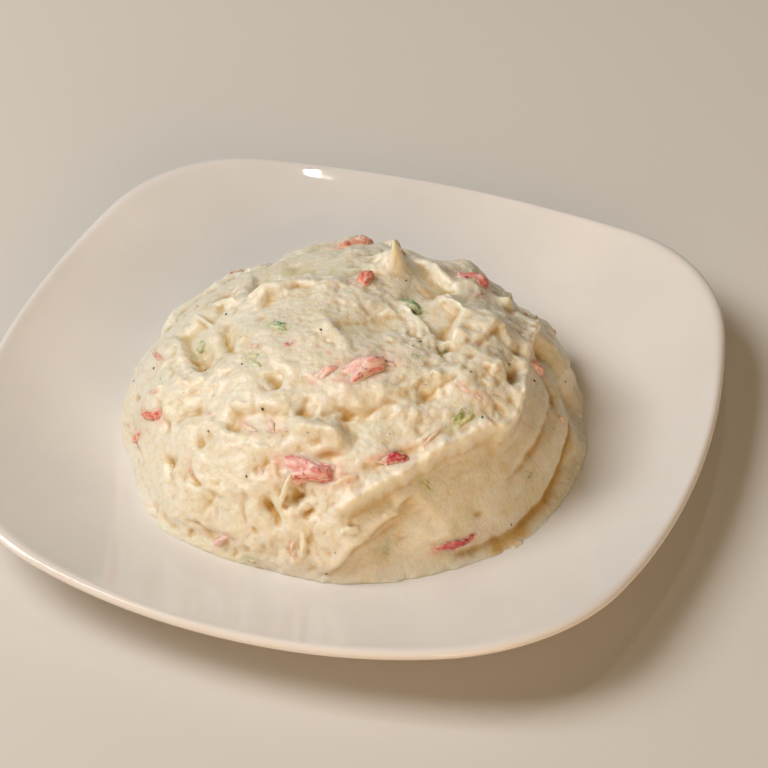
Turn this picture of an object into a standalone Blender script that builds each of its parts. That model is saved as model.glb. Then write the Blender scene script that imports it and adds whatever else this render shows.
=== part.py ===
"""Potato salad heaped on a rounded-square coupe plate.

The plate is 216 mm from side to side.  A creamy heap of potato salad, 137 mm across, stands in
the middle of it, shaved and folded with a broad spatula, with flakes of crab stick and slivers
of cucumber lying half sunk in its surface.

Sizes below are in millimetres and degrees; meshes are made in metres.  +Z is up, the origin is
on the surface the plate stands on, under its middle, and the plate's sides run along X and Y.

A place on the heap is given as (bearing, rise): the bearing is the direction from the heap's
axis, anticlockwise from +X, and the rise is the angle up the dome, from 0 at the plate to 90 at
the crown.
"""

import math

import bmesh
import bpy
import numpy as np
from mathutils import Matrix, Vector

MM = 0.001
GAP = 0.3                    # left between pieces that touch

# Plate
PLATE_SIDE = 216.0           # between the middles of two opposite sides
SIDE_ARC = 228.0             # radius that each side bows out to
CORNER_ARC = 57.6            # radius of the rounded corners
RIM_HEIGHT = 20.0            # top of the lip in the middle of a side
CORNER_LIFT = 4.4            # how much higher the lip is at the corners
WELL_HEIGHT = 6.0            # top of the flat middle
WELL_FLAT = 45.0             # radius of the flat middle
COUPE_POWER = 2.1            # how late the well turns up towards the rim
ROUND_WELL = 72.0            # inside this radius the well is still round
WALL = 4.6                   # thickness of the well
LIP = 3.4                    # thickness of the rounded lip
FOOT_RADIUS = 60.0           # middle of the foot ring
FOOT_WIDTH = 5.0
FOOT_RECESS = 1.4            # how far the underside is above the foot
PLATE_STEPS = 60             # facets round the plate

# Heap
HEAP_MIDDLE = (2.4, -1.3)
HEAP_RADIUS = 68.5
HEAP_RISE = 44.2             # crown of the smooth dome above its foot
DOME_SPLITS = 25             # cuts in each edge of the icosahedron that the dome starts from
FOOT_SPREAD = 0.9            # how far the foot of the heap is smeared out on the plate
LIP_SLOPE = 5.0              # how fast a lip falls away behind its edge
LUMP_COUNT = 240
LUMP_WIDTHS = (3.0, 6.0)
LUMP_HEIGHT = 0.9
LUMP_SEED = 7


# ---------------------------------------------------------------- plate

def ease(value):
    """0 below 0, 1 above 1, and a smooth S between."""
    value = np.clip(value, 0.0, 1.0)
    return value * value * (3.0 - 2.0 * value)


def well_top(radius):
    """Height of the plate's upper face in its round middle."""
    climb = np.maximum(radius - WELL_FLAT, 0.0) / (PLATE_SIDE / 2 - WELL_FLAT)
    return WELL_HEIGHT + (RIM_HEIGHT - WELL_HEIGHT) * climb ** COUPE_POWER


def rim_reach(angle):
    """Distance from the middle to the outline, which is four bowed sides and four corner arcs."""
    half = PLATE_SIDE / 2
    setback = SIDE_ARC - half
    between = SIDE_ARC - CORNER_ARC
    corner = (math.sqrt(2 * between ** 2 - setback ** 2) - setback) / 2
    joint = corner + CORNER_ARC * np.array([corner + setback, corner]) / between
    angle = angle % (math.pi / 2)
    angle = min(angle, math.pi / 2 - angle)
    if angle <= math.atan2(joint[1], joint[0]):
        return math.sqrt(SIDE_ARC ** 2 - (setback * math.sin(angle)) ** 2) - setback * math.cos(angle)
    off = math.pi / 4 - angle
    reach = corner * math.sqrt(2)
    return reach * math.cos(off) + math.sqrt(CORNER_ARC ** 2 - (reach * math.sin(off)) ** 2)


def plate_section():
    """Half section of the plate: out along the top, over the lip, and back along the underside."""
    half = PLATE_SIDE / 2
    lip_middle = half - LIP / 2
    top = [(radius, well_top(radius)) for radius in (0.0, 45.0, 58.0, 68.0, 77.0, 86.0, 94.0, 101.0)]
    lip_height = well_top(lip_middle) - LIP / 2
    lip = []
    for turn in (110.0, 60.0, 15.0, -30.0, -75.0):
        swing = math.radians(turn)
        lip.append((lip_middle + LIP / 2 * math.cos(swing), lip_height + LIP / 2 * math.sin(swing)))
    under = []
    for radius in (100.0, 90.0, 80.0, 70.0):
        thickness = WALL + (LIP - WALL) * (radius - WELL_FLAT) / (half - WELL_FLAT)
        under.append((radius, well_top(radius) - thickness))
    outer = FOOT_RADIUS + FOOT_WIDTH / 2
    inner = FOOT_RADIUS - FOOT_WIDTH / 2
    foot = [
        (outer + 1.0, FOOT_RECESS + 0.5),
        (outer, 0.4),
        (outer - 0.6, 0.0),
        (inner + 0.6, 0.0),
        (inner, 0.4),
        (inner - 1.0, FOOT_RECESS),
        (0.0, FOOT_RECESS),
    ]
    return top + lip + under + foot


def square_off(point):
    """Push a point of the turned plate out to the rounded square, and lift it towards the corners."""
    radius = math.hypot(point.x, point.y)
    if radius <= ROUND_WELL:
        return
    half = PLATE_SIDE / 2
    share = ((radius - ROUND_WELL) / (half - ROUND_WELL)) ** 2
    reach = rim_reach(math.atan2(point.y, point.x))
    stretch = 1.0 + (reach / half - 1.0) * share
    full_corner = rim_reach(math.pi / 4)
    point.x *= stretch
    point.y *= stretch
    point.z += CORNER_LIFT * share * ((reach - half) / (full_corner - half)) ** 1.2


def build_plate(home):
    """The plate: a section turned about Z, then squared off."""
    section = bpy.data.meshes.new("plate_section")
    points = plate_section()
    links = [(index, index + 1) for index in range(len(points) - 1)]
    section.from_pydata([(radius, 0.0, height) for radius, height in points], links, [])
    turned = add_object("plate_turned", section, home)
    screw = turned.modifiers.new("Turn", "SCREW")
    screw.angle = math.tau
    screw.steps = PLATE_STEPS
    screw.render_steps = PLATE_STEPS
    screw.use_merge_vertices = True
    screw.merge_threshold = 0.0001
    plate = baked_copy(turned, "plate", home)
    for vertex in plate.data.vertices:
        square_off(vertex.co)
    plate.data.transform(Matrix.Scale(MM, 4))
    finish(plate, material("glazed porcelain", (0.82, 0.79, 0.76), 0.18), 50.0)
    return plate


# ---------------------------------------------------------------- the heap's dome and strokes

def on_dome(bearing, rise):
    """A point of the smooth dome, measured from the middle of its foot."""
    turn, lift = math.radians(bearing), math.radians(rise)
    flat = HEAP_RADIUS * math.cos(lift)
    return np.array([flat * math.cos(turn), flat * math.sin(turn), HEAP_RISE * math.sin(lift)])


def dome_normals(points):
    """Outward directions of the smooth dome."""
    slopes = points / np.array([HEAP_RADIUS, HEAP_RADIUS, HEAP_RISE]) ** 2
    return slopes / np.linalg.norm(slopes, axis=1, keepdims=True)


def smooth_path(stops, steps=8):
    """A curve on the dome through a few stops, as a chain of points."""
    knots = [on_dome(*stop) for stop in stops]
    knots = [2 * knots[0] - knots[1]] + knots + [2 * knots[-1] - knots[-2]]
    chain = []
    for before, start, end, after in zip(knots, knots[1:], knots[2:], knots[3:]):
        for part in np.linspace(0.0, 1.0, steps, endpoint=False):
            bend = (2 * start + (end - before) * part
                    + (2 * before - 5 * start + 4 * end - after) * part ** 2
                    + (3 * start - before - 3 * end + after) * part ** 3)
            chain.append(bend / 2)
    chain.append(knots[-2])
    chain = np.array(chain)
    size = np.sqrt(((chain / np.array([HEAP_RADIUS, HEAP_RADIUS, HEAP_RISE])) ** 2).sum(axis=1))
    return chain / size[:, None]


def measure_from(path, points):
    """How far each point lies to the left of the path, a fade to the path's ends, and the way left.

    Left is as seen from outside the heap by someone who goes along the path.
    """
    starts, runs = path[:-1], np.diff(path, axis=0)
    lengths = np.linalg.norm(runs, axis=1)
    done = np.concatenate([[0.0], np.cumsum(lengths)])
    to_points = points[:, None, :] - starts[None, :, :]
    along = np.clip((to_points * runs).sum(axis=2) / lengths ** 2, 0.0, 1.0)
    away = to_points - along[:, :, None] * runs
    nearest = np.linalg.norm(away, axis=2).argmin(axis=1)
    rows = np.arange(len(points))
    away = away[rows, nearest]
    left = np.cross(dome_normals(points), runs[nearest])
    left /= np.linalg.norm(left, axis=1, keepdims=True)
    distance = np.linalg.norm(away, axis=1)
    signed = np.where((left * away).sum(axis=1) >= 0.0, distance, -distance)
    travelled = done[nearest] + along[rows, nearest] * lengths[nearest]
    fade = ease(travelled / 6.0) * ease((done[-1] - travelled) / 6.0)
    return signed, fade, left


def shave(points, stops, lift, cut, reach, wall):
    """A spatula's flat sweep along the right of a path, with the lip it leaves along the left."""
    offset, fade, _ = measure_from(smooth_path(stops), points)
    lip = lift * np.exp(-np.maximum(offset, 0.0) / LIP_SLOPE)
    depth = np.maximum(-offset, 0.0) / reach
    hollow = -cut * depth * np.exp(1.0 - depth)
    edge = ease(1.0 + offset / wall)
    return fade * (lip * edge + hollow * (1.0 - edge))


def swept_share(points, stops, reach):
    """1 where the spatula has just passed and left the heap smooth, fading away below its sweep."""
    offset, fade, _ = measure_from(smooth_path(stops), points)
    below = np.maximum(-offset, 0.0)
    return fade * ease(below / 3.0) * np.exp(-np.maximum(below - 2.4 * reach, 0.0) / 8.0)


def furrow(points, stops, depth, width):
    """A groove along a path; a negative depth makes a ridge."""
    offset, fade, _ = measure_from(smooth_path(stops), points)
    return -depth * fade * np.exp(-(offset / width) ** 2)


def dimple(points, place, depth, width):
    """A round hollow; a negative depth makes a lump."""
    offset = np.linalg.norm(points - on_dome(*place), axis=1)
    return -depth * np.exp(-(offset / width) ** 2)


SHAVES = [
    # stops along the lip, lift of the lip, cut below it, distance to the deepest part, wall below the lip
    ([(-78, 25), (-65, 34), (-47, 40), (-34, 41), (-27, 41), (-21, 38), (-14, 38.5),
      (-6, 41), (3, 43), (11, 43.5), (20, 42), (36, 34)], 2.6, 4.0, 10.0, 3.2),
    ([(-79, 3), (-75, 10), (-71, 16), (-67, 20.5), (-62, 25), (-58, 29), (-53, 33)], 1.5, 1.6, 5.0, 1.6),
    ([(-68, 74), (-77, 77), (-89, 80), (-112, 82), (-150, 83)], 0.8, 1.3, 7.0, 3.0),
    ([(111, 76), (131, 74), (149, 69), (172, 64), (178, 58)], 1.2, 2.6, 4.5, 1.6),
    ([(-9, 66), (-3, 69), (4, 71), (14, 74), (27, 76), (43, 77), (57, 78)], 0.9, 1.7, 3.2, 1.4),
    ([(46, 66), (41, 65), (32, 64), (24, 63), (8, 64), (-6, 64)], 1.6, 1.4, 2.6, 1.4),
    ([(-136, 50), (-141, 47), (-148, 45), (-154, 44), (-162, 42), (-170, 38)], 1.2, 2.4, 4.0, 1.6),
    ([(82, 57), (68, 59), (57, 60), (42, 59)], 1.2, 2.6, 4.5, 1.6),
    ([(118, 10), (92, 18), (66, 22)], 1.6, 1.6, 7.0, 1.6),
    ([(172, 12), (150, 20), (132, 27)], 1.4, 2.0, 7.0, 1.6),
]

FURROWS = [
    # stops, depth, half width
    ([(-48, 3.2), (-38, 3.2), (-30, 3.2), (-23, 3.3), (-16, 4), (-11, 5.5), (-5, 7.5), (0, 10),
      (8, 12), (14, 15), (20, 20)], 1.7, 2.0),
    ([(-125, 48), (-115, 51), (-105, 54), (-94, 55), (-82, 57), (-69, 59), (-54, 61), (-40, 61),
      (-24, 62)], 1.4, 3.0),
    ([(24, 36), (17, 30), (12, 26), (4, 25), (-4, 24.5), (-12, 23.5), (-20, 22), (-27, 20)], 1.0, 2.2),
    ([(-173, 55), (-157, 57), (-143, 56)], 2.6, 2.4),
    ([(-98, 29), (-94, 24), (-90, 17)], 2.8, 2.2),
    ([(-90, 47), (-79, 46)], 1.6, 2.0),
    ([(-79, 55), (-68, 48)], 2.0, 2.2),
    ([(-7, 49), (4, 42)], 2.0, 2.2),
    ([(15, 48), (5, 43)], 1.6, 2.0),
    ([(26, 38), (30, 26)], 3.2, 3.0),
    ([(-140, 28), (-134, 36), (-128, 44)], 1.6, 2.6),
    ([(60, 42), (48, 36), (40, 40)], 2.0, 2.6),
    ([(150, 44), (128, 48), (110, 52)], 2.2, 3.0),
    ([(100, 6), (80, 8), (60, 5)], 1.8, 2.4),
    ([(-100, 52), (-86, 51), (-71, 49)], -2.4, 3.0),
    ([(-91, 40), (-91, 28)], -1.8, 1.8),
    ([(-12, 53), (2, 50)], -1.6, 2.6),
    ([(-54, 12), (-50, 13), (-46, 13), (-42, 13), (-38, 11)], -0.8, 1.8),
    ([(-88, 64), (-68, 63), (-46, 63)], -1.4, 4.0),
]

DIMPLES = [
    # place, depth, half width
    ((-9, 65), 3.6, 2.4),
    ((-93, 56), 2.4, 3.4),
    ((-76, 58), 2.2, 3.0),
    ((-150, 49), 2.8, 5.0),
    ((-128, 21), 2.0, 2.6),
    ((-100, 37), 2.2, 2.6),
    ((-88, 31), 3.6, 3.8),
    ((-83, 26), 2.4, 3.0),
    ((160, 61), 2.6, 4.0),
    ((170, 51), 2.2, 3.6),
    ((137, 34), 5.0, 8.0),
    ((155, 34), 2.6, 9.0),
    ((172, 22), 3.2, 8.0),
    ((86, 36), 6.4, 8.0),
    ((71, 30), 5.0, 7.0),
    ((52, 27), 3.4, 6.5),
    ((21, 9), 3.6, 9.0),
    ((102, 13), 4.4, 12.0),
    ((80, 13), 5.0, 12.0),
    ((54, 11), 2.6, 10.0),
    ((126, 12), 2.2, 10.0),
    ((-150, 8), 1.6, 8.0),
    ((-4, 46), 2.2, 2.4),
    ((9, 46.5), 1.6, 1.8),
    ((-113, 60), 2.2, 2.8),
    ((109, 42), -2.8, 4.6),
    ((95, 43), -4.0, 3.2),
    ((66, 44), -2.4, 5.0),
    ((20, 56), -2.2, 6.0),
    ((-4, 56), -1.8, 5.0),
    ((-19, 56), -2.0, 5.0),
    ((-158, 12), -1.6, 9.0),
    ((-118, 8), -2.2, 10.0),
    ((-150, 30), -1.6, 8.0),
    ((43, 24), -1.4, 7.0),
    ((-12, 50), -3.4, 13.0),
    ((14, 52), -1.6, 10.0),
    ((20, 79), 2.0, 13.0),
    ((-10, 83), 1.6, 8.0),
    ((6, 66), 1.2, 2.8),
    ((12, 55), -1.6, 7.0),
    ((41, 65), -1.0, 2.0),
    ((66, 58), -1.0, 3.0),
    ((48, 55), -2.0, 3.6),
    ((32, 42), -1.2, 4.0),
    ((-6, 51), -1.2, 3.0),
    ((-36, 57), 1.4, 3.0),
    ((-28, 61), -1.4, 2.2),
    ((15, 42), 1.4, 2.0),
    ((82, 65), -2.2, 3.4),
    ((-156, 48), 1.0, 4.0),
    ((-148, 53), 1.0, 3.0),
    ((-37, 15.5), 1.0, 1.8),
    ((-73, 21), -0.8, 1.6),
    ((-72, 23), 0.9, 1.6),
    ((153, 62), 1.8, 2.2),
    ((172, 54), 1.4, 2.0),
]

PEAKS = [
    # pulled-up tips: place, height, half width, lean
    ((79, 67), 9.6, 3.4, (-0.1, 0.1, 1.0)),
    ((40, 46), 3.4, 2.6, (0.3, 0.1, 0.6)),
]

TOES = [
    # bearing, how much further the foot runs out on the plate there, half width in degrees
    (-31, 2.8, 13.0),
    (-57, 0.8, 10.0),
    (-92, -2.0, 10.0),
    (-122, 1.8, 11.0),
    (-146, -1.8, 9.0),
    (82, -3.6, 30.0),
    (130, -1.0, 18.0),
]


def foot_spread(bearings):
    """How far the foot of the heap runs out on the plate, for bearings in degrees."""
    spread = np.full(len(bearings), FOOT_SPREAD)
    for bearing, extra, width in TOES:
        turn = (bearings - bearing + 180.0) % 360.0 - 180.0
        spread += extra * np.exp(-(turn / width) ** 2)
    return spread


def relief(points):
    """How far the worked surface stands out from the smooth dome at each point."""
    height = np.zeros(len(points))
    swept = np.zeros(len(points))
    for stops, lift, cut, reach, wall in SHAVES:
        height += shave(points, stops, lift, cut, reach, wall)
        swept = np.maximum(swept, swept_share(points, stops, reach))
    for stops, depth, width in FURROWS:
        height += furrow(points, stops, depth, width)
    for place, depth, width in DIMPLES:
        height += dimple(points, place, depth, width)
    draw = np.random.default_rng(LUMP_SEED)
    for _ in range(LUMP_COUNT):
        lift = math.degrees(math.asin(draw.uniform(0.05, 1.0)))
        place = (draw.uniform(-180.0, 180.0), lift)
        width = draw.uniform(*LUMP_WIDTHS)
        bump = draw.uniform(-LUMP_HEIGHT, LUMP_HEIGHT)
        height += dimple(points, place, bump, width) * (1.0 - 0.9 * swept)
    settle = 0.4 + 0.6 * ease(points[:, 2] / 9.0)
    return height * settle


def slide_to_lips(points, fixed, links, spacing):
    """Move the points nearest each lip along the dome onto it, so that the lip comes out crisp.

    Those that would crowd a neighbour stay where they are, and the rest are then evened out.
    """
    held = fixed.copy()
    for stops, *_ in SHAVES:
        offset, fade, left = measure_from(smooth_path(stops), points)
        near = np.flatnonzero((np.abs(offset) < 0.5 * spacing) & (fade > 0.1) & ~held)
        taken = np.empty((0, 3))
        for index in near[np.argsort(np.abs(offset[near]))]:
            target = points[index] - left[index] * offset[index]
            if len(taken) and np.linalg.norm(taken - target, axis=1).min() < 0.6 * spacing:
                continue
            points[index] = target
            held[index] = True
            taken = np.vstack([taken, target])
    count = np.bincount(links.ravel(), minlength=len(points))[:, None]
    for _ in range(6):
        total = np.zeros_like(points)
        np.add.at(total, links[:, 0], points[links[:, 1]])
        np.add.at(total, links[:, 1], points[links[:, 0]])
        points[~held] = (0.5 * points + 0.5 * total / count)[~held]
        radii = np.array([HEAP_RADIUS, HEAP_RADIUS, HEAP_RISE])
        points /= np.linalg.norm(points / radii, axis=1, keepdims=True)
    return points


def worked_surface(points):
    """Points of the smooth dome moved out to the worked surface, with its peaks pulled up."""
    worked = points + dome_normals(points) * relief(points)[:, None]
    for place, tall, width, lean in PEAKS:
        away = np.linalg.norm(points - on_dome(*place), axis=1)
        pull = tall * np.exp(-(away / width) ** 1.4)
        worked += pull[:, None] * np.array(lean) / np.linalg.norm(lean)
    return worked


# ---------------------------------------------------------------- the heap

def geodesic_half():
    """The upper half of a unit sphere of even triangles, open at its foot."""
    shell = bmesh.new()
    bmesh.ops.create_icosphere(shell, subdivisions=1, radius=1.0)
    bmesh.ops.subdivide_edges(shell, edges=shell.edges[:], cuts=DOME_SPLITS, use_grid_fill=True)
    spacing = 1.1 / (DOME_SPLITS + 1)
    for vertex in shell.verts:
        vertex.co.normalize()
        if abs(vertex.co.z) < 0.4 * spacing:
            vertex.co.z = 0.0
            vertex.co.normalize()
    everything = shell.verts[:] + shell.edges[:] + shell.faces[:]
    bmesh.ops.bisect_plane(shell, geom=everything, dist=1e-5, plane_co=(0, 0, 0),
                           plane_no=(0, 0, 1), clear_inner=True)
    bmesh.ops.dissolve_degenerate(shell, edges=shell.edges[:], dist=1e-4)
    return shell


def close_underneath(shell):
    """Run the open foot in along the plate and close it with a flat face."""
    rim = [edge for edge in shell.edges if edge.is_boundary]
    ring = bmesh.ops.extrude_edge_only(shell, edges=rim)["geom"]
    inner = [item for item in ring if isinstance(item, bmesh.types.BMVert)]
    for vertex in inner:
        flat = Vector((vertex.co.x, vertex.co.y, 0.0)).normalized() * (WELL_FLAT - 6.0)
        vertex.co = Vector((flat.x, flat.y, WELL_HEIGHT + GAP))
    bmesh.ops.contextual_create(shell, geom=[e for e in ring if isinstance(e, bmesh.types.BMEdge)])
    bmesh.ops.triangulate(shell, faces=shell.faces[:])
    bmesh.ops.recalc_face_normals(shell, faces=shell.faces[:])


def build_heap(home):
    """The heap: a geodesic dome worked by the strokes, with its foot spread on the plate."""
    shell = geodesic_half()
    shell.verts.index_update()
    unit = np.array([vertex.co[:] for vertex in shell.verts])
    links = np.array([[vertex.index for vertex in edge.verts] for edge in shell.edges])
    dome = unit * np.array([HEAP_RADIUS, HEAP_RADIUS, HEAP_RISE])
    foot = unit[:, 2] < 1e-4
    spacing = 1.1 * HEAP_RADIUS / (DOME_SPLITS + 1)
    dome = slide_to_lips(dome, foot, links, spacing)
    worked = worked_surface(dome)
    spread = foot_spread(np.degrees(np.arctan2(dome[foot, 1], dome[foot, 0])))
    worked[foot] += dome_normals(dome[foot]) * spread[:, None]
    worked[:, :2] += np.array(HEAP_MIDDLE)
    base_height = well_top(HEAP_RADIUS) + GAP
    worked[:, 2] += base_height
    on_plate = well_top(np.hypot(worked[:, 0], worked[:, 1])) + GAP
    worked[foot, 2] = on_plate[foot]
    above = ~foot
    worked[above, 2] = np.maximum(worked[above, 2], on_plate[above] + 0.5)
    for vertex, place in zip(shell.verts, worked):
        vertex.co = place
    close_underneath(shell)
    mesh = bpy.data.meshes.new("salad")
    shell.to_mesh(mesh)
    shell.free()
    heap = add_object("salad", mesh, home)
    heap.data.transform(Matrix.Scale(MM, 4))
    finish(heap, material("creamy potato salad", (0.86, 0.74, 0.50), 0.42), 40.0)
    return heap


# ---------------------------------------------------------------- pieces in the heap

FLAKES = [
    # name, one end, other end, width, thickness, how much stands proud, subdivisions
    ("crab_stick_1", (-94, 39), (-76, 38), 7.0, 4.6, 1.0, 3),
    ("crab_stick_2", (-77, 68), (-50, 70), 8.0, 4.6, 0.9, 3),
    ("crab_stick_3", (-95, 65), (-81, 71), 3.0, 2.4, 0.5, 2),
    ("crab_stick_4", (-50, 8), (-40, 8), 2.4, 2.2, 0.5, 2),
    ("crab_stick_5", (113, 47), (103, 47), 4.8, 4.0, 1.0, 2),
    ("crab_stick_6", (-61, 43), (-54, 42), 3.8, 3.2, 0.7, 2),
    ("crab_stick_7", (56, 52), (50, 47), 4.2, 3.2, 0.8, 2),
    ("crab_stick_8", (100, 79), (94, 75), 3.6, 3.0, 0.7, 2),
    ("crab_stick_9", (19, 37), (18, 31), 3.6, 2.8, 0.5, 2),
    ("crab_stick_10", (-147, 25), (-142, 28), 3.2, 2.8, 0.5, 2),
    ("crab_stick_11", (-149, 12), (-144, 15), 3.6, 2.8, 0.5, 2),
    ("cucumber_1", (-153, 69), (-146, 73), 3.2, 2.4, 0.5, 2),
    ("cucumber_2", (46, 77), (34, 72), 3.2, 2.4, 0.5, 2),
    ("cucumber_3", (-35, 46), (-28, 47), 3.2, 2.4, 0.4, 2),
    ("cucumber_4", (-20, 15), (-15, 18), 2.2, 2.0, 0.3, 2),
]


def flake_mesh(name, size, subdivisions, grow):
    """A pebble with squarish sides, of the flake's size plus a margin all round, in millimetres."""
    body = bmesh.new()
    bmesh.ops.create_icosphere(body, subdivisions=subdivisions, radius=1.0)
    for vertex in body.verts:
        blunt = sum(abs(value) ** 3.0 for value in vertex.co) ** (1.0 / 3.0)
        vertex.co /= blunt
        for axis in range(3):
            vertex.co[axis] *= size[axis] / 2 + grow
    mesh = bpy.data.meshes.new(name)
    body.to_mesh(mesh)
    body.free()
    return mesh


def flake_frame(start, end, thickness, proud):
    """Where a flake lies: along the line between its ends, flat against the worked surface."""
    ends = np.array([on_dome(*start), on_dome(*end)])
    middle = ends.mean(axis=0)
    middle /= math.sqrt(((middle / np.array([HEAP_RADIUS, HEAP_RADIUS, HEAP_RISE])) ** 2).sum())
    up = dome_normals(middle[None, :])[0]
    seat = worked_surface(middle[None, :])[0] + up * (proud - thickness / 2)
    along = ends[1] - ends[0]
    along -= up * along.dot(up)
    along /= np.linalg.norm(along)
    across = np.cross(up, along)
    seat[:2] += HEAP_MIDDLE
    seat[2] += well_top(HEAP_RADIUS) + GAP
    turn = Matrix([along, across, up]).transposed().to_4x4()
    return Matrix.Translation(Vector(seat)) @ turn


def build_flakes(home, cutters, heap):
    """Crab stick and cucumber half sunk in the heap, and the pockets they lie in."""
    looks = {
        "crab": material("crab stick", (0.72, 0.22, 0.20), 0.38),
        "cucumber": material("cucumber", (0.32, 0.46, 0.28), 0.32),
    }
    for name, start, end, width, thickness, proud, subdivisions in FLAKES:
        length = float(np.linalg.norm(on_dome(*end) - on_dome(*start)))
        frame = flake_frame(start, end, thickness, proud)
        size = (length, width, thickness)
        flake = add_object(name, flake_mesh(name, size, subdivisions, 0.0), home)
        pocket = add_object(name + "_pocket", flake_mesh(name + "_pocket", size, subdivisions, GAP), cutters)
        for piece in (flake, pocket):
            piece.data.transform(Matrix.Scale(MM, 4) @ frame)
        finish(flake, looks[name.split("_")[0]], 60.0)
        pocket.display_type = "WIRE"
        pocket.hide_render = True
    cut = heap.modifiers.new("Pockets", "BOOLEAN")
    cut.operation = "DIFFERENCE"
    cut.operand_type = "COLLECTION"
    cut.collection = cutters


# ---------------------------------------------------------------- objects and materials

def add_object(name, mesh, home):
    thing = bpy.data.objects.new(name, mesh)
    home.objects.link(thing)
    return thing


def baked_copy(source, name, home):
    """A plain mesh object with the source's modifiers applied; the source is removed."""
    depsgraph = bpy.context.evaluated_depsgraph_get()
    mesh = bpy.data.meshes.new_from_object(source.evaluated_get(depsgraph))
    mesh.name = name
    bpy.data.objects.remove(source)
    return add_object(name, mesh, home)


def material(name, colour, roughness):
    skin = bpy.data.materials.new(name)
    skin.use_nodes = True
    shader = skin.node_tree.nodes["Principled BSDF"]
    shader.inputs["Base Color"].default_value = (*colour, 1.0)
    shader.inputs["Roughness"].default_value = roughness
    shader.inputs["Metallic"].default_value = 0.0
    return skin


def finish(thing, skin, sharp_angle):
    thing.data.materials.append(skin)
    thing.data.shade_smooth()
    thing.data.set_sharp_from_angle(angle=math.radians(sharp_angle))


def collection(name):
    group = bpy.data.collections.new(name)
    bpy.context.scene.collection.children.link(group)
    return group


for leftover in list(bpy.data.objects):
    bpy.data.objects.remove(leftover)
dish = collection("plate_of_potato_salad")
pockets = collection("pockets")
build_plate(dish)
salad = build_heap(dish)
build_flakes(dish, pockets, salad)
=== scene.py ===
import math

import bpy
import numpy as np
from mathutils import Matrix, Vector, noise
from mathutils.bvhtree import BVHTree
from mathutils.kdtree import KDTree


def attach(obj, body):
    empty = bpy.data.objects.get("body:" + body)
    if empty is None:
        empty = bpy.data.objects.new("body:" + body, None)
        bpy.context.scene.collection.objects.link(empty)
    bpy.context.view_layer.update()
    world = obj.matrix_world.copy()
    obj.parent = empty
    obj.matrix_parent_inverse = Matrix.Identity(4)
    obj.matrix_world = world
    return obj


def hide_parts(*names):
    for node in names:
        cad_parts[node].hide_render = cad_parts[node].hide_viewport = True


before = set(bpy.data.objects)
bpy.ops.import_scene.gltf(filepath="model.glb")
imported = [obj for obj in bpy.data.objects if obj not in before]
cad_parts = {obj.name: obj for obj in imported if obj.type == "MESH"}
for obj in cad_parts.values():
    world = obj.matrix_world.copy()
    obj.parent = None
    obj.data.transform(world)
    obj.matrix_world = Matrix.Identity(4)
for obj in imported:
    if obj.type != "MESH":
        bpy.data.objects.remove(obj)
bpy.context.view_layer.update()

MM = 0.001


# ------------------------------------------------------------------ coupe plate
# A rounded-square coupe plate of white porcelain, pressed in one piece, dipped in clear glaze and
# fired on its foot ring.  The lip lifts a little at the corners.

PLATE_SIDE = 216.0           # between the middles of two opposite sides, mm
SIDE_ARC = 228.0             # radius that each side bows out to
CORNER_ARC = 57.6            # radius of the rounded corners
RIM_HEIGHT = 20.0            # of the lip at the middle of a side
CORNER_LIFT = 4.4            # of the lip at a corner, above that
WELL_HEIGHT = 6.0
WELL_FLAT = 45.0             # radius of the flat middle
COUPE_POWER = 2.1            # how late the well turns up to the lip
ROUND_WELL = 72.0            # radius within which the plate is still round
WALL = 4.6                   # thickness in the middle
LIP = 3.4                    # thickness at the lip
FOOT_RADIUS = 60.0
FOOT_WIDTH = 5.0
FOOT_RECESS = 1.4
TOP_RINGS = (30, 45, 52, 58, 64, 70, 76, 82, 88, 93, 98, 102, 104)      # radii of the modelled rings
UNDER_RINGS = (103, 98, 92, 86, 80, 74, 69, 65)
CENTRE_RING = 8.0
PLATE_ROUND = 128            # points round the plate, before one subdivision


def linear(code):
    """A colour written as sRGB hex, as the linear RGBA that a shader takes."""
    shares = [int(code[place:place + 2], 16) / 255 for place in (1, 3, 5)]
    return tuple(v / 12.92 if v <= 0.04045 else ((v + 0.055) / 1.055) ** 2.4 for v in shares) + (1.0,)


def ease(value):
    """0 below 0, 1 above 1, and a smooth S between."""
    value = np.clip(value, 0.0, 1.0)
    return value * value * (3.0 - 2.0 * value)


def new_material(name, **finish):
    """A material with the settings of its one shader; returns it, its nodes and the shader."""
    skin = bpy.data.materials.new(name)
    skin.use_nodes = True
    shader = skin.node_tree.nodes["Principled BSDF"]
    for socket, value in finish.items():
        shader.inputs[socket.replace("_", " ")].default_value = value
    return skin, skin.node_tree, shader


def add_node(tree, kind, links=None, values=None, **settings):
    """A shader node with its settings, and with its sockets linked or set by name or number."""
    node = tree.nodes.new(kind)
    for name, value in settings.items():
        setattr(node, name, value)
    for socket, value in (values or {}).items():
        node.inputs[socket].default_value = value
    for socket, source in (links or {}).items():
        tree.links.new(source, node.inputs[socket])
    return node


def mixed(tree, share, first, second, blend="MIX"):
    """Two colours mixed by a share; each is a socket or a colour."""
    node = add_node(tree, "ShaderNodeMix", data_type="RGBA", blend_type=blend)
    for socket, value in ((0, share), (6, first), (7, second)):
        if isinstance(value, bpy.types.NodeSocket):
            tree.links.new(value, node.inputs[socket])
        else:
            node.inputs[socket].default_value = value
    return node.outputs[2]


def stretched(tree, value, low, high, to_low=0.0, to_high=1.0):
    """A value between low and high, brought to between to_low and to_high."""
    node = add_node(tree, "ShaderNodeMapRange", {0: value}, {1: low, 2: high, 3: to_low, 4: to_high})
    return node.outputs[0]


def scale_for(width):
    """A pattern's scale, from how wide its grains, spots or waves are in millimetres."""
    return 1.0 / (width * MM)


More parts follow.
